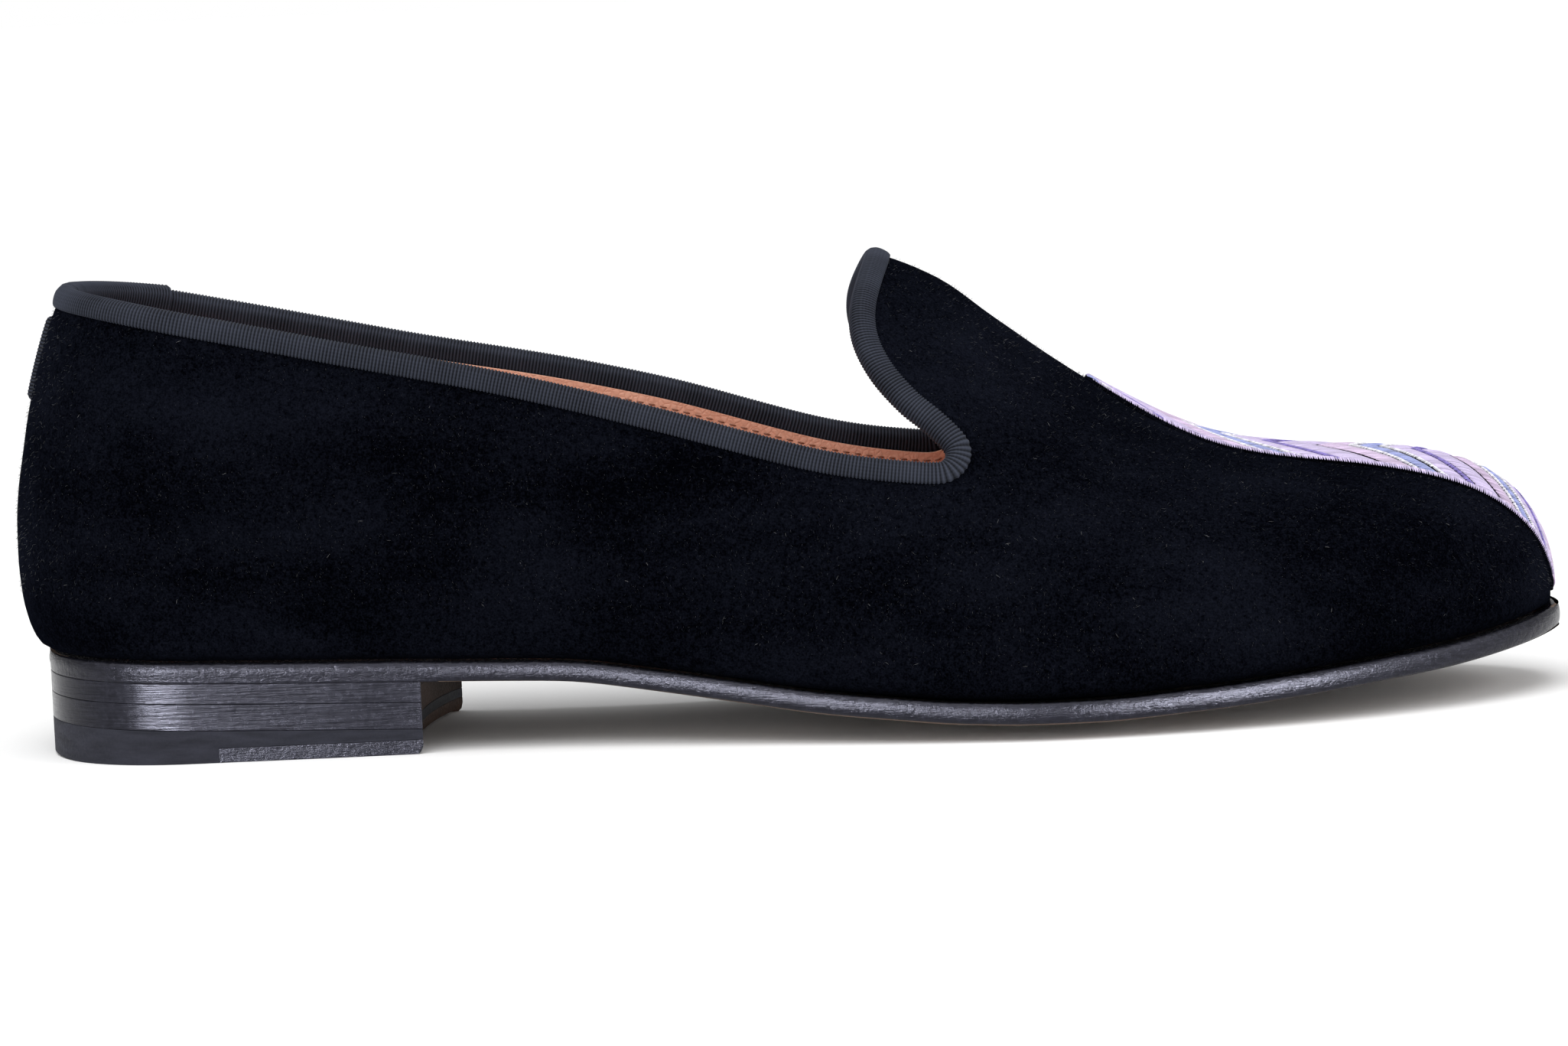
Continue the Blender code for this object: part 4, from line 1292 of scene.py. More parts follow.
    def foot_rows(self, sweep: Array, side: Side, inset: float) -> list[Array]:
        """Rows of points from the feather line round the corner and in under the foot.

        Args:
            sweep: sweep of the points on the feather line.
            side: side of the foot.
            inset: how far inside the outer surface the wall's outer face is.

        Returns:
            One array of points for each row.
        """
        form = self.form
        along = form.along(sweep)
        half = form.plan_half(along)
        middle = form.plan_middle(along)
        corner = form.feather_corner(along)
        base = form.feather_height(along)
        room = np.clip(half / self.narrow, 0.0, 1.0)
        rows = []
        for angle in self.turn_in:
            bend = math.radians(angle)
            lift = corner * (1.0 + math.sin(bend)) + inset * math.sin(-bend)
            reach = half - corner + corner * math.cos(bend) - inset * room
            x = form.station_x(along, lift) + inset * (1 - along) ** 6
            x = x - self.draw_back * inset * (1.0 - room) * (along > 0.5)
            y = middle + side.value * np.maximum(reach, 0.0)
            rows.append(np.stack([x, y, base + lift], axis=-1))
        x = form.station_x(along) + 0.004 * (1 - along) ** 8
        rows.append(np.stack([x, middle + side.value * half * self.tuck,
                              form.last_bottom(x, self.tuck) + inset], axis=-1))
        return rows

    def sheet(self, name: str, drop: float, inset_top: float, inset_low: float, thickness: float,
              columns: int, rows: int) -> Shape:
        """One closed wall over both sides.

        Args:
            name: the piece's name.
            drop: how far below the rim it starts.
            inset_top: how far inside the outer surface its own outer face is, at the rim.
            inset_low: the same away from the rim.
            thickness: thickness of the wall.
            columns: steps from the back seam to the toe.
            rows: steps from the feather line to the ridge.

        Returns:
            The object.
        """
        form = self.form
        points, faces = [], []
        count = 0
        for side in Side:
            sweep, turn, found = self.triangles(side, drop, columns, rows)
            sign = np.full_like(sweep, side.value)
            outer = form.wall(sweep, turn, sign)
            facing = form.wall_normal(sweep, turn, sign)
            rim = form.wall(*self.dropped_rim(side, 0.0), side.value)
            gap = np.sqrt(gap_squared(outer, rim))
            away = smooth_step((gap - self.band) / self.band_fade)
            inset = inset_top + (inset_low - inset_top) * away
            room = np.clip(form.plan_half(form.along(sweep)) / self.narrow, 0.0, 1.0)
            room[form.along(sweep) < 0.5] = 1.0
            depth = (inset * room + self.crease_depth(sweep, turn, side)
                     * smooth_step(gap / self.band_fade))
            outer = outer - facing * depth[:, None]
            outer[sweep < 1e-9, 1] = float(form.plan_middle(np.array(0.0)))
            outer[:, 0] -= self.draw_back * inset_low * (1.0 - room) * (form.along(sweep) > 0.5)
            foot = np.flatnonzero(turn < 1e-7)
            foot = foot[np.argsort(sweep[foot])]
            under = self.foot_rows(sweep[foot], side, inset_low)
            above = foot + count
            faces += [tuple(corner + count for corner in face) for face in found]
            start = count + len(outer)
            for row in range(len(under)):
                below = start + row * len(foot) + np.arange(len(foot))
                for k in range(len(foot) - 1):
                    face = (int(above[k]), int(below[k]), int(below[k + 1]), int(above[k + 1]))
                    faces.append(face if side is Side.OUTER else face[::-1])
                above = below
            whole = np.vstack([outer, *under])
            count += len(whole)
            points.append(form.place(whole))
        shape = mesh_object(name, np.vstack(points), faces, weld=False)
        repair(shape.data, 2 * WELD, False)
        shell = shape.modifiers.new("wall", "SOLIDIFY")
        shell.thickness = thickness
        shell.offset = -1.0
        bake_modifiers(shape)
        shape.data.shade_smooth()
        shape.data.set_sharp_from_angle(angle=math.radians(SHARP))
        return shape

    def lining_seam(self, thread: Material) -> None:
        """Stitches along the lining's raw edge.

        Args:
            thread: their material.
        """
        form = self.form
        parts = []
        for side in Side:
            sweep, turn = self.dropped_rim(side, self.seam_drop)
            sign = np.full_like(sweep, side.value)
            facing = form.wall_normal(sweep, turn, sign)
            inward = self.lining_depth + self.lining_thickness + 0.00008
            line = form.wall(sweep, turn, sign) - facing * inward
            total = np.concatenate([[0.0], np.cumsum(np.linalg.norm(np.diff(line, axis=0), axis=1))])
            pick = np.arange(self.stitch_pitch / 2, total[-1], self.stitch_pitch)
            place = np.stack([np.interp(pick, total, line[:, k]) for k in range(3)], axis=1)
            ahead = np.stack([np.interp(pick + 0.0004, total, line[:, k]) for k in range(3)], axis=1)
            normal = np.stack([np.interp(pick, total, -facing[:, k]) for k in range(3)], axis=1)
            parts.append((place, unit(ahead - place + 1e-9), unit(normal)))
        centre, heading, facing = (np.vstack([part[k] for part in parts]) for k in range(3))
        reach = np.full(len(centre), self.stitch_length)
        colour = np.tile(self.seam_colour, (len(centre), 1))
        keep(ThreadLayer().lay("lining_stitches", form.place(centre), heading, facing, reach, colour,
                               thread, 0.85), "insole_leather", None)

    def scatter(self, count: int, dice: np.random.Generator) -> tuple[Array, ...]:
        """Places spread evenly over the velvet, clear of the tape and the embroidery.

        Args:
            count: how many.
            dice: source of the places.

        Returns:
            Points, normals and slopes along turn.
        """
        form = self.form
        low = 0.03
        parts = []
        for side in Side:
            edge = np.column_stack(self.dropped_rim(side, self.nap_drop))
            border = np.vstack([(0.0, low), (1.0, low), (1.0, math.pi / 2), edge[::-1]])
            tries = dice.uniform((0.0, low), (0.99, math.pi / 2 - low), (count * 6, 2))
            one, two = form.wall_slopes(tries[:, 0], tries[:, 1], side.value)
            area = np.linalg.norm(np.cross(one, two), axis=1)
            along = form.along(tries[:, 0])
            panel = (along > 0.70) & (tries[:, 1] > math.pi / 2 * (0.99 - PANEL_HALF.read(along)))
            fair = dice.uniform(0, area.max(), len(area)) < area
            held = inside_border(tries, border) & ~panel & fair
            place = tries[held][:count // 2]
            sign = np.full(len(place), side.value)
            facing = form.wall_normal(place[:, 0], place[:, 1], sign)
            rise = form.wall_slopes(place[:, 0], place[:, 1], side.value)[1]
            parts.append((form.wall(place[:, 0], place[:, 1], sign), facing, unit(rise)))
        return tuple(np.vstack([part[k] for part in parts]) for k in range(3))

    def pile(self, fibre: Material) -> None:
        """Standing tips of the pile, brushed down and back, and a few stray fibres lying on it.

        Args:
            fibre: their material.
        """
        dice = np.random.default_rng(11)
        layer = ThreadLayer(sides=3, steps=2)
        place, facing, rise = self.scatter(self.nap_count, dice)
        loose = dice.normal(0.0, 0.42, place.shape)
        heading = unit(facing - self.nap_lean * rise + np.array([0.25, 0.0, 0.0]) + loose)
        reach = dice.uniform(*self.nap_reach, len(place))
        tone = dice.uniform(*self.nap_tone, (len(place), 1)) * np.array([[0.72, 0.86, 1.25]])
        middle = place + heading * (reach * 0.35)[:, None]
        across = unit(np.cross(heading, facing + loose * 0.3))
        keep(layer.lay("velvet_pile", self.form.place(middle), heading, across, reach, tone, fibre,
                       0.15), "velvet", None)
        place, facing, _ = self.scatter(self.lint_count, dice)
        heading = unit(np.cross(facing, dice.normal(0.0, 1.0, facing.shape)))
        reach = dice.uniform(*self.lint_reach, len(place))
        tone = dice.uniform(*self.lint_tone, (len(place), 1)) * np.array([[0.95, 0.97, 1.0]])
        middle = place + facing * 0.00015
        keep(layer.lay("lint", self.form.place(middle), heading, facing, reach, tone, fibre, 0.12),
             "velvet", None)

    def build(self, velvet: Material, leather: Material,
              thread: Material) -> None:
        """Make the velvet, the lining with its seam, and the pile.

        Args:
            velvet: finish of the outside.
            leather: finish of the lining.
            thread: finish of stitches and fibres.
        """
        keep(self.sheet("velvet_upper", self.velvet_drop, 0.0, 0.0, self.skin, *self.velvet_grid),
             "velvet", velvet, "upper")
        keep(self.sheet("leather_lining", self.lining_drop, self.lining_depth,
                        self.skin + self.lining_gap, self.lining_thickness, *self.lining_grid),
             "insole_leather", leather)
        self.lining_seam(thread)
        self.pile(thread)


@dataclass
class CollarBinding:
    """Ribbed tape folded over the rim, and its overlapping join."""

    form: LastForm
    rib_pitch: float = 0.00064
    rib_depth: float = 0.00026
    thread_pitch: float = 0.0006
    samples_per_rib: int = 4
    measure_steps: int = 800
    join_share: float = 0.935
    join_lift: float = 0.0008
    join_fade: float = 0.03
    walk_from: float = 0.0006
    profile: tuple[Pair, ...] = (
        (0.0031, 0.00008), (0.00305, 0.00040), (0.0028, 0.00056), (0.0025, 0.00066),
        (0.0022, 0.00074), (0.0019, 0.00080), (0.0016, 0.00084), (0.0013, 0.00087),
        (0.0010, 0.00088), (0.0007, 0.00087), (0.0004, 0.00082), (0.0001, 0.00072),
        (-0.0004, 0.00050), (-0.0009, -0.00006), (-0.0011, -0.00100), (-0.0010, -0.00190),
        (-0.0005, -0.00262), (0.0003, -0.00304), (0.0013, -0.00312), (0.0024, -0.00308),
        (0.0031, -0.00285), (0.0031, -0.00225), (0.0002, -0.00220), (0.0002, 0.00010))

    def rib_tree(self) -> Tree:
        """Geometry Nodes that raise the ribs of a tape from its place along the rim.

        Returns:
            The tree.
        """
        nodes = start_tree("tape ribs", {"Rib pitch": "Float", "Rib depth": "Float",
                                         "Material": "Material"})
        given = nodes.add("NodeGroupInput").outputs
        along = nodes.named("along", "FLOAT")
        phase = nodes.math("MULTIPLY", nodes.math("DIVIDE", along, given["Rib pitch"]), 2 * math.pi)
        wave = nodes.math("MULTIPLY_ADD", nodes.math("SINE", phase), 0.5, 0.5)
        normal = nodes.add("GeometryNodeInputNormal").outputs[0]
        raised = nodes.math("MULTIPLY", wave, given["Rib depth"])
        offset = nodes.add("ShaderNodeVectorMath", {0: normal, "Scale": raised},
                           operation="SCALE").outputs[0]
        # The stored rib also lightens the rib tops and darkens the valleys in the tape's colour: painted
        # light and shade.
        stored = nodes.add("GeometryNodeStoreNamedAttribute",
                           {"Geometry": given["Geometry"], "Name": "rib", "Value": wave},
                           data_type="FLOAT")
        moved = nodes.add("GeometryNodeSetPosition", {"Geometry": stored.outputs[0], "Offset": offset})
        return finish_tree(nodes, moved.outputs[0], given["Material"])

    def build(self, tape: Material) -> None:
        """Sweep the folded tape round the rim and raise its ribs.

        Args:
            tape: the material.
        """
        form = self.form
        sweep, turn, side = form.rim_loop(self.measure_steps)
        point = form.wall(sweep, turn, side)
        length = np.linalg.norm(np.diff(point, axis=0, append=point[:1]), axis=1).sum()
        ribs = int(round(length / self.rib_pitch))
        sweep, turn, side = form.rim_loop(ribs * self.samples_per_rib // 2)
        point = form.wall(sweep, turn, side)
        tangent = unit(np.roll(point, -1, axis=0) - np.roll(point, 1, axis=0))
        normal = form.wall_normal(sweep, turn, side)
        down = unit(np.cross(tangent, normal))
        share = np.arange(len(sweep)) / len(sweep)
        lap = share - self.join_share
        lift = self.join_lift * np.where(lap > 0, np.exp(-np.maximum(lap, 0.0) / self.join_fade), 0.0)
        rings = []
        for depth, out in self.profile:
            if depth > self.walk_from:
                s, t = form.wall_walk(sweep, turn, side, down, depth)
                place, facing = form.wall(s, t, side), form.wall_normal(s, t, side)
                lean = np.zeros(len(point))
            else:
                place, facing = point, normal
                lean = depth - lift * (depth < 0.0)
            raised = out + lift * (1 if out > 0 else -1)
            rings.append(place + facing * raised[:, None] + down * lean[:, None])
        grid = np.transpose(np.array(rings), (1, 0, 2))
        rows, columns, _ = grid.shape
        shape = mesh_object("topline_tape", form.place(grid).reshape(-1, 3),
                            grid_faces(rows, columns, True, True), weld=False)
        repair(shape.data, 0.0, True)
        point_values(shape, "along", "FLOAT", np.repeat(share, columns))
        steps = np.diff(np.array(self.profile), axis=0, prepend=[self.profile[0]])
        girth = np.linalg.norm(steps, axis=1).cumsum()
        # Besides its bump, thread lightens the thread crests in the tape's colour: painted light.
        thread = 0.5 + 0.5 * np.sin(2 * math.pi * girth / self.thread_pitch)
        point_values(shape, "thread", "FLOAT", np.tile(thread, rows))
        run_tree(shape, self.rib_tree(), {"Rib pitch": 1.0 / ribs, "Rib depth": self.rib_depth,
                                          "Material": tape})
        keep(shape, "grosgrain", None, "topline_binding")


@dataclass
class LeatherSole:
    """Outsole with a rounded painted edge, and the insole inside."""

    form: LastForm
    seat_reach: float = 0.0004
    welt_reach: float = 0.0014
    insole_inset: float = 0.0034
    insole_thickness: float = 0.0022
    insole_edge: tuple[Triple, ...] = (
        (0.0, 0.0, 1.0), (0.4, 0.0, 1.0), (0.8, 0.0, 1.0), (1.0, 0.0009, 1.0), (1.0, 0.0002, 0.85),
        (1.0, 0.0, 0.5), (1.0, 0.0003, 0.0), (0.6, 0.0, 0.0), (0.0, 0.0, 0.0))
    tread_facing: float = -0.93
    heel_end: float = 0.0765
    heel_fade: float = 0.008
    heel_square: float = 0.9
    stations: int = 150
    top_shares: tuple[float, ...] = (0.0, 0.35, 0.7, 0.93)
    under_shares: tuple[float, ...] = (0.93, 0.75, 0.5, 0.25, 0.12, 0.0)
    edge: tuple[Pair, ...] = (
        (0.0009, 1.0), (0.0003, 0.985), (0.00004, 0.90), (-0.00012, 0.70), (-0.00016, 0.50),
        (-0.00010, 0.30), (0.00010, 0.12), (0.00045, 0.03), (0.0010, 0.0))

    def loop(self, along: Array, grow_back: float, grow_front: float) -> tuple[Array, ...]:
        """Closed outline of a layer.

        Args:
            along: shares of the length.
            grow_back: how far it reaches past the feather line at the heel.
            grow_front: the same at the toe.

        Returns:
            Outline, the middle at each of its points, and its outward directions.
        """
        x, middle, half = self.form.outline(along, grow_back, grow_front)
        outer = np.stack([x, middle - half], axis=1)
        inner = np.stack([x, middle + half], axis=1)[-2:0:-1]
        ring = np.vstack([outer, inner])
        spine = np.concatenate([middle, middle[-2:0:-1]])
        return ring, spine, outward(ring)

    def build(self, edge: Material, tread: Material,
              leather: Material) -> None:
        """Make the outsole and the insole.

        Args:
            edge: finish of the painted edge.
            tread: finish of the underside.
            leather: finish of the insole.
        """
        along = self.form.along(np.linspace(0.0, 1.0, self.stations + 1))
        self.outsole(along, edge, tread)
        self.insole(along, leather)

    def outsole(self, along: Array, edge: Material, tread: Material) -> None:
        """Make the outsole, from the middle of its top round the edge to the middle of its underside.

        Args:
            along: shares of the length.
            edge: finish of the painted edge.
            tread: finish of the underside.
        """
        form = self.form
        ring, spine, out = self.loop(along, self.seat_reach, self.welt_reach)
        rows = []
        for share in self.top_shares:
            y = spine + (ring[:, 1] - spine) * share
            z = form.bottom_height(ring[:, 0], share) + form.sole_depth(ring[:, 0])
            rows.append(np.stack([ring[:, 0], y, z], axis=1))
        over_heel = 1.0 - smooth_step((ring[:, 0] - self.heel_end) / self.heel_fade)
        for inset, up in self.edge:
            kept = 1.0 - self.heel_square * over_heel * (up < 0.5)
            place = ring - out * (inset * kept)[:, None]
            low = np.maximum(form.bottom_height(ring[:, 0], 1.0), 0.0)
            rows.append(np.column_stack([place, low + form.sole_depth(ring[:, 0]) * up]))
        for share in self.under_shares:
            y = spine + (ring[:, 1] - spine) * share
            z = np.maximum(form.bottom_height(ring[:, 0], share), 0.0)
            rows.append(np.stack([ring[:, 0], y, z], axis=1))
        grid = np.array(rows)
        shape = mesh_object("leather_outsole", form.place(grid).reshape(-1, 3),
                            grid_faces(grid.shape[0], grid.shape[1], False, True))
        shape.data.materials.append(edge)
        shape.data.materials.append(tread)
        for face in shape.data.polygons:
            face.material_index = 1 if face.normal.z < self.tread_facing else 0
        keep(shape, "sole_leather", None, "outsole")

    def insole(self, along: Array, leather: Material) -> None:
        """Make the insole, from the middle of its top round the edge to the middle of its underside.

        Args:
            along: shares of the length.
            leather: its finish.
        """
        form = self.form
        ring, spine, out = self.loop(along, -self.insole_inset, -self.insole_inset)
        grid = []
        for share, inset, up in self.insole_edge:
            place = ring - out * inset
            y = spine + (place[:, 1] - spine) * share
            z = form.last_bottom(ring[:, 0], share) + form.wall_thickness + form.clearance
            grid.append(np.stack([place[:, 0], y, z + self.insole_thickness * up], axis=1))
        grid = np.array(grid)
        keep(mesh_object("leather_insole", form.place(grid).reshape(-1, 3),
                         grid_faces(grid.shape[0], grid.shape[1], False, True)),
             "insole_leather", leather, "insole")


@dataclass
class BuiltHeel:
    """Two leather lifts over a rubber tread with a leather front quarter."""

    form: LastForm
    lift_one: float = 0.0034
    lift_two: float = 0.0046
    breast_x: float = 0.0765
    breast_skew: float = 0.0040
    breast_hollow: float = 0.0034
    quarter_x: float = 0.0390
    quarter_thickness: float = 0.0027
    bevel_length: float = 0.0130
    bevel_rise: float = 0.0010
    side_edge: float = 0.00012
    joint: float = 0.00004
    front_edge: float = 0.0016
    breast_power: float = 0.8
    sharp: float = 38.0
    steps: int = 46
    plain_steps: int = 40
    breast_steps: int = 26
    crowding: Pair = (1.7, 1.9)
    low_edge: tuple[Pair, ...] = ((1.0, 0.0), (0.3, 0.3), (0.0, 1.0), (0.0, 1.4))
    high_edge: tuple[Pair, ...] = ((0.0, 2.0), (0.0, 1.0), (0.3, 0.3), (1.0, 0.0))
    front_facing: float = 0.3

    def outline(self, start: float, end: float) -> tuple[Array, Array]:
        """Outline of the heel between two places along it.

        Args:
            start: rear end, in metres from the rearmost point.
            end: front end; past the breast the outline takes the breast's hollow curve.

        Returns:
            Points of the outline, and for each whether it is on the breast.
        """
        form = self.form
        sole = LeatherSole(form)
        share = np.linspace(0.0, 1.0, self.steps) ** self.crowding[0]
        x, middle, half = form.outline(share * self.breast_x / form.length, sole.seat_reach,
                                       sole.welt_reach)
        x = np.minimum(x, self.breast_x)
        front_x = min(end, self.breast_x)
        fine = np.linspace(max(start, x[0]), front_x, self.plain_steps)
        if start <= x[0]:
            fine = x[0] + (front_x - x[0]) * np.linspace(0.0, 1.0, self.steps) ** self.crowding[1]
        middle = np.interp(fine, x, middle)
        half = np.interp(fine, x, half)
        outer = np.column_stack([fine, middle - half])
        inner = np.column_stack([fine, middle + half])
        on_breast = np.zeros(len(fine), bool)
        front = np.zeros((0, 2))
        if end >= self.breast_x:
            on_breast[-1] = True
            corner = np.array([self.breast_x + self.breast_skew, inner[-1, 1]])
            t = np.linspace(0.0, 1.0, self.breast_steps)[1:-1]
            front = outer[-1] + (corner - outer[-1]) * t[:, None]
            front[:, 0] -= self.breast_hollow * np.sin(math.pi * t) ** self.breast_power
            inner[-1, 0] = corner[0]
        back = inner[::-1] if start > x[0] else inner[:0:-1]
        flags = np.concatenate([on_breast, np.ones(len(front), bool), on_breast[::-1][:len(back)]])
        return np.vstack([outer, front, back]), flags

    def seat(self, x: Array) -> Array:
        """Underside of the outsole over the heel."""
        return self.form.bottom_height(x) - self.form.clearance

    def slab(self, name: str, start: float, end: float, low: Array | float,
             high: Array | float, front_edge: float) -> Shape:
        """One layer with softened edges.

        Args:
            name: the piece's name.
            start: rear end.
            end: front end.
            low: drop of its underside below the seat, or its height where it is 0 or more.
            high: rise of its top over the seat, below it where negative, or its height from the
                quarter's thickness up.
            front_edge: size of the softened edge under the breast.

        Returns:
            The object.
        """
        ring, breast = self.outline(start, end)
        out = outward(ring)
        seat = self.seat(ring[:, 0])
        bottom = seat + low if low < 0 else np.full(len(ring), low)
        top = seat + high if high < self.quarter_thickness else np.full(len(ring), high)
        soft = np.where(breast, front_edge, self.side_edge)
        rows = []
        for share, up in self.low_edge:
            rows.append(np.column_stack([ring - out * (soft * share)[:, None], bottom + soft * up]))
        for share, up in self.high_edge:
            rows.append(np.column_stack([ring - out * self.side_edge * share,
                                         top - self.side_edge * up]))
        return mesh_object(name, self.form.place(rows).reshape(-1, 3),
                           tube_faces(len(rows), len(ring)), sharp=self.sharp)

    def carve(self, shape: Shape, side_view: list[Pair]) -> None:
        """Take away a prism that runs right across the heel.

        Args:
            shape: the piece.
            side_view: the prism's corners as x and z.
        """
        wide = self.form.heel_width
        outline = np.array([(x, 0.0, z) for x, z in side_view])
        count = len(outline)
        points = np.vstack([outline - (0.0, wide, 0.0), outline + (0.0, wide, 0.0)])
        faces = [tuple(range(count)), tuple(range(count, 2 * count))]
        faces += [(k, (k + 1) % count, count + (k + 1) % count, count + k) for k in range(count)]
        cutter = mesh_object("space", self.form.place(points), faces)
        space = shape.modifiers.new("space", "BOOLEAN")
        space.object = cutter
        space.operation = "DIFFERENCE"
        bake_modifiers(shape)
        bpy.data.objects.remove(cutter)

    def build(self, lift: Material, edge: Material, breast: Material,
              rubber: Material) -> None:
        """Make the lifts, the tread and its leather front quarter.

        Args:
            lift: finish of the lifts' sides.
            edge: finish of the quarter's sides.
            breast: finish of their hollow fronts.
            rubber: finish of the tread.
        """
        gap = self.form.clearance
        one = -self.lift_one - gap / 2
        two = one - self.lift_two - gap
        upper = self.slab("heel_upper_lift", 0.0, 1.0, one + self.joint, gap * 0.85, self.side_edge)
        lower = self.slab("heel_lower_lift", 0.0, 1.0, two + self.joint, one, self.side_edge)
        quarter = self.slab("heel_quarter", self.quarter_x + self.joint, 1.0, 0.0,
                            self.quarter_thickness, self.front_edge)
        for shape, side, node in ((upper, lift, "heel_lift_upper"), (lower, lift, "heel_lift_lower"),
                                  (quarter, edge, "heel_front_quarter")):
            shape.data.materials.append(side)
            shape.data.materials.append(breast)
            for face in shape.data.polygons:
                face.material_index = 1 if face.normal.x > self.front_facing else 0
            keep(shape, "heel_leather", None, node)
        tread = self.slab("heel_tread", 0.0, 1.0, 0.0, two, self.side_edge)
        beyond = 0.01
        top = self.quarter_thickness + self.joint
        self.carve(tread, [(self.quarter_x, -beyond), (self.breast_x + beyond, -beyond),
                           (self.breast_x + beyond, top), (self.quarter_x, top)])
        slope = self.bevel_rise / self.bevel_length
        self.carve(tread, [(-beyond, -beyond), (self.bevel_length, -beyond), (self.bevel_length, 0.0),
                           (-beyond, self.bevel_rise + beyond * slope)])
        tread.data.shade_smooth()
        tread.data.set_sharp_from_angle(angle=math.radians(self.sharp))
        keep(tread, "heel_rubber", rubber, "heel_rubber")


@dataclass
class BackStrip:
    """Narrow strip over the top of the back seam."""

    form: LastForm
    width: float = 0.0080
    thickness: float = 0.0007
    columns: int = 17
    look: float = 0.02
    low: float = 0.680
    high: float = 0.905
    rows: int = 113
    rib_pitch: float = 0.00064
    rib_depth: float = 0.00012

    def build(self, tape: Material) -> None:
        """Make the strip with rounded edges.

        Args:
            tape: the material.
        """
        form = self.form
        base = float(form.feather_height(np.array(0.0)))
        heights = np.linspace(self.low, self.high, self.rows) * form.back_height + base
        across = np.linspace(-1.0, 1.0, self.columns)
        sweep = np.zeros((len(heights), len(across)))
        turn = np.zeros_like(sweep)
        for i, z in enumerate(heights):
            x = float(form.back_inset(z - base)) + 1e-5
            start = form.find_on_wall(np.array([x]), np.array([z]))[1]
            width = abs(form.wall(np.array([self.look]), start, 1.0)[0, 1])
            sweep[i] = across * self.look * (self.width / 2) / width
            turn[i] = start[0]
        side = np.ones_like(sweep)
        point = form.wall(sweep, turn, side)
        normal = form.wall_normal(sweep, turn, side)
        place = np.arange(self.rows)
        ends = np.minimum(place, self.rows - 1 - place)[:, None] / 6.0
        sides = (1.0 - np.abs(across))[None, :] * 7.0
        edge = np.clip(np.minimum(ends, sides), 0.0, 1.0) ** 0.5
        rib = 0.5 + 0.5 * np.sin(2 * math.pi * heights / self.rib_pitch)[:, None]
        top = point + normal * (0.0001 + (self.thickness + self.rib_depth * rib) * edge)[..., None]
        base_grid = point - normal * 0.0003
        grid = np.concatenate([top, base_grid[:, ::-1]], axis=1)
        rows, columns, _ = grid.shape
        strip = mesh_object("back_seam_strip", form.place(grid).reshape(-1, 3),
                            tube_faces(rows, columns), weld=False)
        repair(strip.data, 0.0, True)
        # rib also lightens the rib tops and darkens the valleys in the tape's colour: painted light and
        # shade.
        point_values(strip, "rib", "FLOAT", np.repeat(rib, columns))
        keep(strip, "grosgrain", tape, "back_strip")


